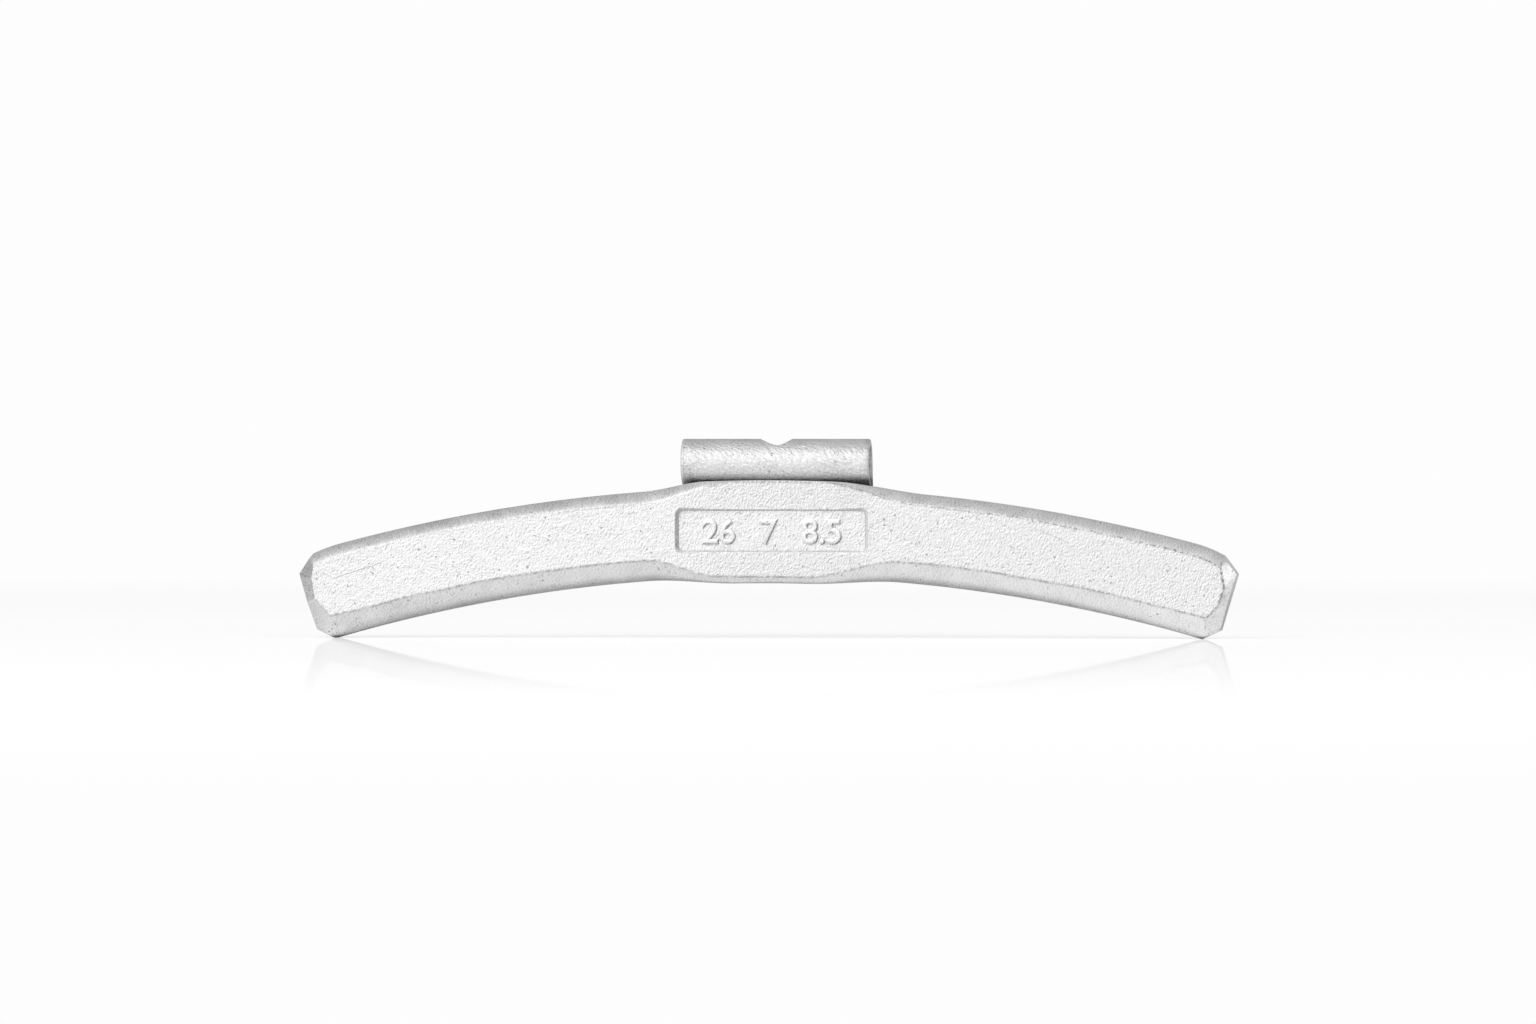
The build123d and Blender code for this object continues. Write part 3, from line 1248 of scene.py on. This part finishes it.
    def draw_wall(self, piece: bpy.types.Object, row: range, radius: float, inward: int) -> None:
        """Draws one long edge of the front back to the rear face, with a round at the end.

        Args:
            piece: The front sheet, in edit mode.
            row: The numbers of the long edge's vertices.
            radius: The long edge's radius on the arms.
            inward: 1 where the round leads to a larger radius and -1 where to a smaller one.
        """
        pick(piece, "EDGE", lambda edge: all(v in row for v in edge.vertices))
        start = self.front_y + self.wall_start
        bpy.ops.mesh.extrude_edges_move()
        bpy.ops.transform.resize(value=(1, 0, 1), center_override=(0, start, 0))
        run = (self.back_y - self.back_round - start) / self.wall_steps
        for _ in range(self.wall_steps):
            bpy.ops.mesh.extrude_edges_move(TRANSFORM_OT_translate={"value": (0, run, 0)})
        axis = (self.axis_x, 0, self.axis_z)
        turns = [pi / 2 * step / self.round_steps for step in range(self.round_steps + 1)]
        for turn, following in zip(turns, turns[1:]):
            back = self.back_round * (sin(following) - sin(turn))
            shift = inward * self.back_round * (cos(turn) - cos(following))
            bpy.ops.mesh.extrude_edges_move(TRANSFORM_OT_translate={"value": (0, back, 0)})
            share = 1 + shift / radius
            bpy.ops.transform.resize(value=(share, 1, share), center_override=axis)

    def cut_plane(self, side: Side, cut: PlaneCut) -> tuple[Vector, Vector]:
        """Place of one cut at an end of the bar.

        Args:
            side: Which end.
            cut: The cut's sizes.

        Returns:
            A point on the plane and its outward normal.
        """
        angle, lean, slope = radians(self.end_angle), radians(cut.lean), radians(cut.slope)
        outward = Vector((side.value * cos(angle), 0, -sin(angle)))
        upward = Vector((side.value * sin(angle), 0, cos(angle)))
        across = outward * cos(lean) - upward * sin(lean)
        normal = across * sin(slope) - Vector((0, 1, 0)) * cos(slope)
        point = upward * (self.inner_radius + cut.height) - outward * cut.inset
        return point + Vector((self.axis_x, self.front_y, self.axis_z)), normal

    def facets(self, end: EndCut) -> list[PlaneCut]:
        """The three facets of one end.

        Args:
            end: The end's own sizes.

        Returns:
            The middle facet, the top one and the low one.
        """
        return [
            PlaneCut(end.inset, self.height / 2, end.mid_lean, end.slope),
            PlaneCut(end.top_inset, self.height * end.top_share, -end.top_lean, end.slope),
            PlaneCut(end.low_inset, self.height * end.low_share, end.low_lean, end.low_slope),
        ]

    def cut_ends(self, piece: bpy.types.Object) -> None:
        """Cuts both ends with planes: end wall, two clipped corners and three front facets.

        Args:
            piece: The closed bar, open only at its two ends.
        """
        top_lean = degrees(atan(self.top_corner[0] / self.top_corner[1]))
        low_lean = degrees(atan(self.low_corner[0] / self.low_corner[1]))
        walls = [
            PlaneCut(0.0, self.height / 2, 0.0),
            PlaneCut(0.0, self.height - self.top_corner[1], -top_lean),
            PlaneCut(0.0, self.low_corner[1], low_lean),
        ]
        edit(piece)
        for side, end in self.ends.items():
            for cut in walls + self.facets(end):
                point, normal = self.cut_plane(side, cut)
                bpy.ops.mesh.select_all(action="SELECT")
                bpy.ops.mesh.bisect(plane_co=point, plane_no=normal, use_fill=True, clear_outer=True,
                                    threshold=MERGE_GRAIN)
        close_edit()

    def cut_slot(self, piece: bpy.types.Object) -> None:
        """Cuts the slot that holds the tongue of the clip, and the seat of the roll at its mouth.

        Args:
            piece: The closed bar.
        """
        for width, run, depth in (self.slot_size, self.seat_size):
            place = (
                self.axis_x + self.press_shift,
                self.back_y - self.slot_rear_wall - run / 2,
                self.axis_z + self.pad_top,
            )
            bpy.ops.object.select_all(action="DESELECT")
            bpy.ops.mesh.primitive_cube_add(size=1.0, location=place, scale=(width, run, 2 * depth))
            cut_away(piece, bpy.context.object)

    def raise_numbers(self, piece: bpy.types.Object) -> None:
        """Raises plain numbers from the pocket's floor.

        Args:
            piece: The closed bar.
        """
        share = self.number_height / self.number_cap
        for words, place in self.numbers.items():
            bpy.ops.object.select_all(action="DESELECT")
            bpy.ops.object.text_add(rotation=(pi / 2, 0, 0))
            figure = bpy.context.object
            figure.data.body = words
            figure.data.align_x = "CENTER"
            figure.data.offset = self.number_weight
            figure.data.extrude = self.number_rise / share
            figure.data.bevel_depth = self.number_round / share
            figure.data.bevel_resolution = self.number_round_steps
            figure.data.resolution_u = self.number_curve_steps
            figure.scale = (share, share, share)
            figure.location = (self.axis_x + place, self.floor_y, self.number_base)
            bpy.ops.object.convert(target="MESH")
            bpy.ops.object.transform_apply(location=True, rotation=True, scale=True)
            edit(figure)
            bpy.ops.mesh.select_all(action="SELECT")
            bpy.ops.mesh.remove_doubles(threshold=MERGE_GRAIN)
            bpy.ops.mesh.normals_make_consistent(inside=False)
            close_edit()
            piece.select_set(True)
            bpy.context.view_layer.objects.active = piece
            bpy.ops.object.join()

    def read_faces(self, mesh: bpy.types.Mesh) -> BarFaces:
        """Reads the faces of the finished mesh and tells the front and the numbers apart.

        Args:
            mesh: The finished bar's mesh.

        Returns:
            The faces.
        """
        places = read_rows(mesh.polygons, "center")
        normals = read_rows(mesh.polygons, "normal")
        x, y, z = places.T
        out, up = x - self.axis_x, z - self.axis_z
        punch = self.punch_depth(out, up)
        return BarFaces(
            places=places, normals=normals, angles=np.arctan2(out, up), radii=np.hypot(out, up), punch=punch,
            front=(normals[:, 1] < self.facing.face) & (y < self.floor_y + self.floor_spare),
            raised=(punch > self.pocket_floor - self.floor_edge) & (y < self.floor_y - self.number_least))

    def pocket_shade(self, faces: BarFaces) -> np.ndarray:
        """Painted shade in the pocket: dark on sides that the light doesn't reach, paler on lit ones, with a
        painted dark line at the foot of the lit walls.

        Args:
            faces: The bar's mesh faces.

        Returns:
            The painted shade of each face.
        """
        painted_shade = self.painted_shade
        y = faces.places[:, 1]
        across, back, up = faces.normals.T
        in_pocket = (faces.punch > 0) & (y < self.floor_y + self.floor_spare)
        shade = np.clip(painted_shade.lee_x * across + painted_shade.lee_z * up, painted_shade.lit_least, 1) * in_pocket
        walls = (faces.punch > self.press_depth) & (faces.punch < self.pocket_floor - self.near_plane)
        walls &= back > self.facing.pocket_wall
        # Painted dark line where the lit walls meet the pocket's floor.
        shade[walls & (shade < 0) & (y > self.floor_y - painted_shade.wall_foot_rise)] = painted_shade.wall_foot
        return shade * np.where(faces.raised, painted_shade.number, painted_shade.pocket)

    def bevel_shade(self, faces: BarFaces) -> np.ndarray:
        """Painted shade on the bevels: dark on top of the arms and under the two ends, with a painted
        brightening of the low bevel.

        Args:
            faces: The bar's mesh faces.

        Returns:
            The painted shade of each face, less than nothing where a brightening is painted.
        """
        painted_shade = self.painted_shade
        x, y, _ = faces.places.T
        _, back, up = faces.normals.T
        on_top = faces.radii > self.arc_radius - self.height * painted_shade.top_part
        on_top &= back < self.facing.top_bevel
        shade = painted_shade.top * on_top * ramp(up, *painted_shade.top_slope) * ramp(np.abs(x), *painted_shade.arm_place)
        shade += painted_shade.left * on_top * ramp(up, *painted_shade.left_slope) * (x < -painted_shade.arm_place[0])
        under = ramp(up, *painted_shade.end_slope) * (y < self.front_y + self.wall_start)
        shade += painted_shade.end * under * ease(self.from_end(faces.angles), 0.0, self.end_round_reach)
        steepest, flattest = painted_shade.low_slopes
        low_bevel = (up > steepest) & (up < flattest) & (back < self.facing.low_bevel) & ~faces.front
        return shade + painted_shade.low * low_bevel * ramp(x, *painted_shade.low_place)

    def face_shade(self, faces: BarFaces) -> np.ndarray:
        """Shade on the face: a painted highlight along the ridge of the left shoulder and a darker pressed
        centre.

        Args:
            faces: The bar's mesh faces.

        Returns:
            The shade of each face.
        """
        painted_shade = self.painted_shade
        stations = self.column_angles()
        line = np.interp(faces.angles, stations, self.edges(stations)["top_face"])
        ridge = ramp(np.abs(faces.radii - line), *painted_shade.ridge_reach)
        ridge *= faces.normals[:, 1] < self.facing.ridge
        press = ease(self.from_pad(faces.angles), *self.press_reach)
        pad = press * faces.front * (faces.punch < self.press_depth)
        return painted_shade.ridge * ridge * self.shoulder(faces.angles) + painted_shade.pad * pad

    def mark_facets(self, faces: BarFaces, shade: np.ndarray) -> np.ndarray:
        """Gives the facets of the two ends their own painted shade or highlight, and their rims.

        Args:
            faces: The bar's mesh faces.
            shade: The painted shade of each face, which is changed on the facets.

        Returns:
            How dark the rim is on each face.
        """
        rims = np.zeros(len(shade))
        for side, end in self.ends.items():
            for cut, own_shade in zip(self.facets(end), end.shades):
                point, normal = (np.array(value) for value in self.cut_plane(side, cut))
                on_facet = np.abs((faces.places - point) @ normal) < self.near_plane
                on_facet &= faces.normals @ normal > self.facing.same_way
                shade[on_facet] = own_shade
                rims[on_facet] = end.rim
        return rims

    def edge_nearness(self, places: np.ndarray) -> np.ndarray:
        """How near places on the front are to the worn edges of its face.

        Args:
            places: Points on the bar, as rows.

        Returns:
            The wear of an edge on its line, falling to nothing over the edges' reach.
        """
        x, y, z = places.T
        out, up = x - self.axis_x, z - self.axis_z
        angles, radii = np.arctan2(out, up), np.hypot(out, up)
        stations = self.column_angles()
        edges = self.edges(stations)
        top_line = np.interp(angles, stations, edges["top_face"])
        low_line = np.interp(angles, stations, edges["low_face"])
        top_wear = blend(*self.top_wear, rightness(angles, self.end_angle)) * (1 - self.shoulder(angles))
        near = np.maximum(
            self.low_wear * ramp(np.abs(radii - low_line), self.edge_reach, 0.0),
            top_wear * ramp(np.abs(radii - top_line), self.edge_reach, 0.0))
        shown = np.where(radii < low_line, self.below_wear, 1.0)
        for side, end in self.ends.items():
            for cut in self.facets(end):
                point, normal = (np.array(value) for value in self.cut_plane(side, cut))
                gap = np.abs((places - point) @ normal) / sin(radians(cut.slope))
                near = np.maximum(near, shown * end.edge_wear * ramp(gap, self.edge_reach, 0.0))
        return near * (y < self.front_y + self.low_bevel[1] / 2)

    def mark_surface(self, piece: bpy.types.Object) -> None:
        """Writes what the coat reads: pebbled faces, painted shade and highlights, rimmed faces, and worn
        edges.

        Args:
            piece: The finished bar.
        """
        mesh = piece.data
        faces = self.read_faces(mesh)
        # Painted shade and highlights on the bar, with the darker pressed centre.
        shade = self.pocket_shade(faces) + self.bevel_shade(faces) + self.face_shade(faces)
        rims = self.mark_facets(faces, shade)
        corners = np.zeros(len(mesh.loops), dtype=int)
        sizes = np.zeros(len(mesh.polygons), dtype=int)
        mesh.loops.foreach_get("vertex_index", corners)
        mesh.polygons.foreach_get("loop_total", sizes)
        near = self.edge_nearness(read_rows(mesh.vertices, "co"))[corners]
        near[np.repeat(np.abs(faces.normals[:, 0]) > self.facing.side, sizes)] = 0
        pebbled = faces.front * np.where(faces.raised, self.number_pebble, 1.0)
        write_values(mesh, "pebbled", "FACE", pebbled)
        write_values(mesh, "rimmed", "FACE", rims)
        write_values(mesh, "painted_shading", "FACE", shade)
        write_values(mesh, "edge_line", "CORNER", near)

    def build(self) -> bpy.types.Object:
        """Models the bar.

        Returns:
            The finished piece.
        """
        piece = self.front_sheet()
        self.peel(piece)
        self.close_back(piece)
        self.cut_ends(piece)
        self.cut_slot(piece)
        self.raise_numbers(piece)
        smooth(piece)
        return piece

    def dress(self, piece: bpy.types.Object, groups: Groups) -> None:
        """Gives the bar its coat and puts it in its node's place.

        Args:
            piece: The finished bar.
            groups: The shared node groups by name.
        """
        self.mark_surface(piece)
        piece.data.materials.append(BODY_COAT.make(groups))
        seat(piece, "pressed_bar", "weight_body")


# The clip
@dataclass
class SpringClip:
    """Strip of spring steel bent into a hook over the rim's edge, with its tongue in the bar."""

    sheet: float = 0.9 * MM
    width: float = 24.6 * MM
    bend_radius: float = 2.15 * MM
    neck_radius: float = 0.3 * MM
    neck_angle: float = 75.0
    leg: float = 7.0 * MM
    leg_angle: float = 14.0
    lip_radius: float = 1.5 * MM
    lip_angle: float = 25.0
    lip: float = 1.2 * MM
    hole_radius: float = 2.1 * MM
    edge_round: float = 0.36 * MM
    columns: int = 56
    tongue_rows: int = 6
    neck_steps: int = 8
    bend_steps: int = 64
    leg_steps: int = 14
    lip_steps: int = 6
    round_steps: int = 4
    hole_sides: int = 96
    touch: float = 0.01 * MM
    # Painted shadow in the crevice above the bar, a darker right end and a painted highlight on the left
    # end.
    painted_shade: float = 0.8
    shade_rise: float = 1.3 * MM
    end_fade: float = 1.2 * MM
    right_darkening: float = 0.25
    left_shine: float = 0.2

    def __post_init__(self) -> None:
        """Works out the bend's place from the CAD node's box."""
        low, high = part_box("spring_clip")
        outer = self.bend_radius + self.sheet
        self.mid_x = (low.x + high.x) / 2
        self.bend_y = low.y + outer
        self.bend_z = high.z - outer
        self.bend_mid = self.bend_radius + self.sheet / 2
        self.neck_mid = self.neck_radius + self.sheet / 2
        self.tongue_low = low.z

    def tongue(self, y: float, top: float) -> bpy.types.Object:
        """Starts the strip with the flat tongue and opens it with its top edge selected.

        Args:
            y: The tongue's place to the back.
            top: The height of its top edge.

        Returns:
            The flat sheet, in edit mode.
        """
        rise = top - self.tongue_low
        bpy.ops.object.select_all(action="DESELECT")
        bpy.ops.mesh.primitive_grid_add(
            x_subdivisions=self.columns, y_subdivisions=self.tongue_rows, size=1.0,
            location=(self.mid_x, y, self.tongue_low + rise / 2), rotation=(pi / 2, 0, 0))
        piece = bpy.context.object
        piece.scale = (self.width, rise, 1)
        bpy.ops.object.transform_apply(location=True, rotation=True, scale=True)
        edit(piece)
        pick(piece, "VERT", lambda vertex: vertex.co.z > top - self.touch)
        return piece

    def strip(self) -> bpy.types.Object:
        """Middle surface of the clip: a sheet whose top edge is spun and drawn along the bends.

        Returns:
            The open sheet, not yet thick.
        """
        turn = radians(self.neck_angle)
        tongue_y = self.bend_y - self.bend_mid * cos(turn) + self.neck_mid * (1 - cos(turn))
        neck_z = self.bend_z - (self.bend_mid + self.neck_mid) * sin(turn)
        piece = self.tongue(tongue_y, neck_z)
        self.turn_edge((tongue_y - self.neck_mid, neck_z), self.neck_angle, self.neck_steps)
        over = self.leg_angle - 180 - self.neck_angle
        self.turn_edge((self.bend_y, self.bend_z), over, self.bend_steps)
        lean = radians(self.leg_angle)
        down, out = (sin(lean), -cos(lean)), (cos(lean), sin(lean))
        self.draw_edge(down, self.leg, self.leg_steps)
        leg_end = [place + self.bend_mid * side + self.leg * way
                   for place, side, way in zip((self.bend_y, self.bend_z), out, down)]
        lip_mid = self.lip_radius + self.sheet / 2
        flare = [place + lip_mid * side for place, side in zip(leg_end, out)]
        self.turn_edge(tuple(flare), self.lip_angle, self.lip_steps)
        lip_lean = lean + radians(self.lip_angle)
        self.draw_edge((sin(lip_lean), -cos(lip_lean)), self.lip + self.sheet / 3, self.lip_steps)
        close_edit()
        return piece

    def turn_edge(self, centre: tuple[float, float], angle: float, steps: int) -> None:
        """Spins the selected edge about a line along X.

        Args:
            centre: The line's place, as y and z.
            angle: How far it turns, in degrees.
            steps: How many faces the turn has.
        """
        middle = (self.mid_x, *centre)
        bpy.ops.mesh.spin(steps=steps, angle=-radians(angle), center=middle, axis=(1, 0, 0))

    def draw_edge(self, way: tuple[float, float], length: float, steps: int) -> None:
        """Draws the selected edge out straight.

        Args:
            way: Unit direction, as y and z.
            length: How far it goes.
            steps: How many faces the stretch has.
        """
        step = (0, way[0] * length / steps, way[1] * length / steps)
        for _ in range(steps):
            bpy.ops.mesh.extrude_edges_move(TRANSFORM_OT_translate={"value": step})

    def drill(self, piece: bpy.types.Object) -> None:
        """Drills the hole through the top of the bend.

        Args:
            piece: The thick clip.
        """
        depth = 2 * self.bend_mid
        bpy.ops.object.select_all(action="DESELECT")
        bpy.ops.mesh.primitive_cylinder_add(
            vertices=self.hole_sides, radius=self.hole_radius, depth=depth,
            location=(self.mid_x, self.bend_y, self.bend_z + depth / 2))
        cut_away(piece, bpy.context.object)

    def mark_surface(self, piece: bpy.types.Object) -> None:
        """Writes the clip's painted shade: a painted shadow in the crevice above the bar, a darker right end
        and a painted highlight on the left end.

        Args:
            piece: The finished clip.
        """
        x, _, z = read_rows(piece.data.vertices, "co").T
        bar_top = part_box("weight_body")[1].z
        from_left = x - self.mid_x + self.width / 2
        # Painted shadow in the crevice just above the bar, fading in from the left end.
        low = ramp(z - bar_top, self.shade_rise, 0.0) ** 2 * ramp(from_left, 0.0, self.end_fade)
        # Darker towards the right end.
        right_end = ramp(self.width - from_left, self.end_fade, 0.0) ** 2
        shading = np.maximum(self.painted_shade * low, self.right_darkening * right_end)
        # Painted highlight on the rounded left end.
        shading[from_left < self.edge_round] -= self.left_shine
        write_values(piece.data, "painted_shading", "POINT", shading)

    def build(self) -> bpy.types.Object:
        """Models the clip.

        Returns:
            The finished piece.
        """
        piece = self.strip()
        apply_modifier(piece, "SOLIDIFY", thickness=self.sheet, offset=0.0, use_even_offset=True)
        apply_modifier(piece, "BEVEL", width=self.edge_round, segments=self.round_steps,
                       limit_method="ANGLE", angle_limit=radians(BREAK_ANGLE))
        edit(piece)
        bpy.ops.mesh.select_all(action="SELECT")
        bpy.ops.mesh.remove_doubles(threshold=MERGE_GRAIN)
        close_edit()
        self.drill(piece)
        edit(piece)
        bpy.ops.mesh.select_all(action="SELECT")
        bpy.ops.mesh.normals_make_consistent(inside=False)
        close_edit()
        smooth(piece)
        return piece

    def dress(self, piece: bpy.types.Object, groups: Groups) -> None:
        """Gives the clip its coat and puts it in its node's place.

        Args:
            piece: The finished clip.
            groups: The shared node groups by name.
        """
        self.mark_surface(piece)
        piece.data.materials.append(CLIP_COAT.make(groups))
        seat(piece, "bent_clip", "spring_clip")


# The stage
@dataclass(frozen=True)
class SoftBox:
    """One rectangular lamp that faces the object.

    Its bearing and height are in degrees, measured as the camera's are, and its radiance is
    the brightness of its surface, where one is white.
    """

    name: str
    azimuth: float
    elevation: float
    distance: float
    size: tuple[float, float]
    radiance: float


@dataclass
class Studio:
    """Pale floor, soft light and the camera at the photograph's viewing angle.

    A wall is given by where it begins, where it ends and its level, and a band by where it
    begins and ends, all as parts of a unit direction.
    """

    azimuth: float = 5.5
    elevation: float = 0.4
    distance: float = 1.6
    lens: float = 288.9
    sensor: float = 36.0
    clip_start: float = 0.01
    target: tuple[float, float, float] = (0.0004, -0.0062, 0.01646)
    lamps: tuple[SoftBox, ...] = (
        SoftBox("key", -26.0, 39.0, 1.3, (1.3, 0.85), 1.05),
        SoftBox("right_box", 88.0, 18.0, 1.2, (0.5, 0.45), 2.0),
    )

    room: float = 0.64
    left_wall: tuple[float, float, float] = (-0.95, -0.55, 0.45)
    right_wall: tuple[float, float, float] = (0.6, 0.95, 0.7)
    front_wall: tuple[float, float, float] = (0.45, 0.95, 0.83)
    ceiling: Reach = (0.26, 0.4)
    ceiling_band: Reach = (-0.35, 0.35)
    ceiling_lean: float = 0.6
    ceiling_rise: Reach = (0.4, 0.9)
    behind_band: Reach = (0.3, 0.5)
    behind_rise: Reach = (0.02, 0.12)
    backdrop: float = 0.985

    floor_size: float = 8.0
    floor_share: float = 0.3
    floor_glow: float = 1.86
    floor_colour: float = 0.92
    # In reflections only, the floor carries a painted shadow under and behind the bar, and its glow rises
    # from left to right as painted light.
    shaded_floor: float = 0.4
    shade_start: Reach = (-0.006, 0.0)
    shade_end: Reach = (0.05, 0.15)
    far_floor: Reach = (0.25, 0.7)
    mirror_share: Reach = (0.3, 0.75)
    shine: float = 0.3
    shine_reach: Reach = (0.05, 0.4)
    shine_rough: float = 0.02

    def aim(self, thing: bpy.types.Object, azimuth: float, elevation: float, distance: float) -> None:
        """Puts a camera or a lamp in its place and turns it to the target.

        Args:
            thing: The camera or lamp.
            azimuth: Its bearing in degrees.
            elevation: Its height in degrees.
            distance: Its distance from the target.
        """
        turn, rise = radians(azimuth), radians(elevation)
        away = Vector((sin(turn) * cos(rise), -cos(turn) * cos(rise), sin(rise)))
        thing.location = Vector(self.target) + away * distance
        thing.rotation_euler = away.to_track_quat("Z", "Y").to_euler()

    def camera(self) -> None:
        """Sets the camera up."""
        bpy.ops.object.camera_add()
        camera = bpy.context.object
        self.aim(camera, self.azimuth, self.elevation, self.distance)
        camera.data.lens = self.lens
        camera.data.sensor_width = self.sensor
        camera.data.clip_start = self.clip_start
        bpy.context.scene.camera = camera

    def lamp(self, box: SoftBox) -> None:
        """Adds one soft box.

        Args:
            box: The lamp's sizes and place.
        """
        bpy.ops.object.light_add(type="AREA")
        lamp = bpy.context.object
        lamp.name = box.name
        self.aim(lamp, box.azimuth, box.elevation, box.distance)
        lamp.data.shape = "RECTANGLE"
        lamp.data.size, lamp.data.size_y = box.size
        lamp.data.energy = box.radiance * pi * box.size[0] * box.size[1]
        lamp.visible_camera = False

    def world(self) -> None:
        """Draws the room: white behind the object, and paler or darker walls elsewhere."""
        world = bpy.data.worlds.new("studio")
        bpy.context.scene.world = world
        world.use_nodes = True
        sheet = NodeSheet(world.node_tree)
        background = world.node_tree.nodes["Background"].inputs
        x, y, z = sheet.split(sheet.add("ShaderNodeTexCoord").outputs["Generated"])
        left_start, left_end, left_level = self.left_wall
        right_start, right_end, right_level = self.right_wall
        front_start, front_end, front_level = self.front_wall
        sides = sheet.times(sheet.span(x, left_start, left_end, left_level, 1.0),
                            sheet.span(x, right_start, right_end, 1.0, right_level))
        front = sheet.span(sheet.times(y, -1.0), front_start, front_end, 0.0, front_level)
        ceiling = sheet.span(x, *self.ceiling_band, *self.ceiling)
        over = sheet.math("MULTIPLY_ADD", y, self.ceiling_lean, z)
        walls = sheet.times(sides, sheet.span(over, *self.ceiling_rise, self.room, ceiling))
        room = sheet.math("ADD", walls, front)
        behind = sheet.times(sheet.span(y, *self.behind_band), sheet.span(z, *self.behind_rise, 1.0, 0.0))
        path = sheet.add("ShaderNodeLightPath").outputs
        seen = sheet.math("ADD", path["Is Camera Ray"], path["Is Transmission Ray"])
        shown = sheet.times(path["Is Glossy Ray"], behind)
        white = sheet.math("MINIMUM", sheet.math("ADD", seen, shown), 1.0)
        level = sheet.math("MULTIPLY_ADD", white, sheet.minus(self.backdrop, room), room)
        sheet.join(level, background["Strength"])
        sheet.join(grey(1.0), background["Color"])

    def floor_coat(self) -> bpy.types.Material:
        """Draws the floor's finish: white where it is seen, with a soft shadow and a faint reflection. In
        reflections it also carries a painted shadow under the bar and a painted glow that rises to the
        right.

        Returns:
            The new material.
        """
        material = bpy.data.materials.new("floor_white")
        material.use_nodes = True
        sheet = NodeSheet(material.node_tree)
        nodes = material.node_tree.nodes
        nodes.remove(nodes["Principled BSDF"])
        place = sheet.add("ShaderNodeTexCoord").outputs["Object"]
        away = sheet.vector("LENGTH", place).outputs["Value"]
        path = sheet.add("ShaderNodeLightPath").outputs
        seen = sheet.math("ADD", path["Is Camera Ray"], path["Is Transmission Ray"])
        along, depth, _ = sheet.split(place)
        # Painted shadow under and behind the bar, seen only in reflections.
        under = sheet.times(sheet.span(depth, *self.shade_start),
                            sheet.span(depth, *self.shade_end, 1.0, 0.0))
        open_floor = sheet.minus(1.0, sheet.times(path["Is Glossy Ray"], under))
        # Painted light: the floor's glow in reflections rises from left to right.
        mirrored = sheet.span(along, -HALF_LENGTH, HALF_LENGTH, *self.mirror_share)
        share = sheet.times(sheet.times(path["Is Glossy Ray"], mirrored), open_floor)
        share = sheet.math("MULTIPLY_ADD", seen, self.floor_share, share)
        glow = sheet.between(seen, 1.0, self.floor_glow)
        pale = sheet.tint(open_floor, grey(self.shaded_floor), grey(self.floor_colour))
        far = sheet.times(seen, sheet.span(away, *self.far_floor))
        shine = sheet.times(path["Is Camera Ray"], sheet.span(away, *self.shine_reach, self.shine, 0.0))
        surface = sheet.add("ShaderNodeBsdfDiffuse", None, Color=pale)
        light = sheet.add("ShaderNodeEmission", None, Color=grey(1.0), Strength=glow)
        plain = sheet.add("ShaderNodeEmission", None, Color=grey(1.0), Strength=self.backdrop)
        gloss = sheet.add("ShaderNodeBsdfGlossy", None, Color=grey(1.0), Roughness=self.shine_rough)
        for amount, layer in ((share, light), (far, plain), (shine, gloss)):
            surface = sheet.add("ShaderNodeMixShader", None, _0=amount, _1=surface.outputs[0],
                                _2=layer.outputs[0])
        sheet.join(surface.outputs[0], nodes["Material Output"].inputs["Surface"])
        return material

    def floor(self) -> None:
        """Lays the floor."""
        bpy.ops.mesh.primitive_plane_add(size=self.floor_size)
        floor = bpy.context.object
        floor.name = "floor"
        floor.data.materials.append(self.floor_coat())

    def build(self) -> None:
        """Sets up the floor, the room, the lamps and the camera."""
        self.floor()
        self.world()
        for box in self.lamps:
            self.lamp(box)
        self.camera()
        bpy.context.scene.view_settings.view_transform = "Standard"


def clear_start() -> None:
    """Removes what a new Blender file holds, and keeps the frame."""
    for name in ("Cube", "Light", "Camera"):
        found = bpy.data.objects.get(name)
        if found is not None:
            bpy.data.objects.remove(found)


def main() -> None:
    """Builds the pieces in order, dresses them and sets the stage."""
    clear_start()
    groups = {
        "grain": GrainPattern().make(),
        "pits": PitPattern().make(),
        "scratches": ScratchPattern().make(),
    }
    for assembly in (WeightBody(), SpringClip()):
        assembly.dress(assembly.build(), groups)
    Studio().build()


if __name__ == "__main__":
    main()
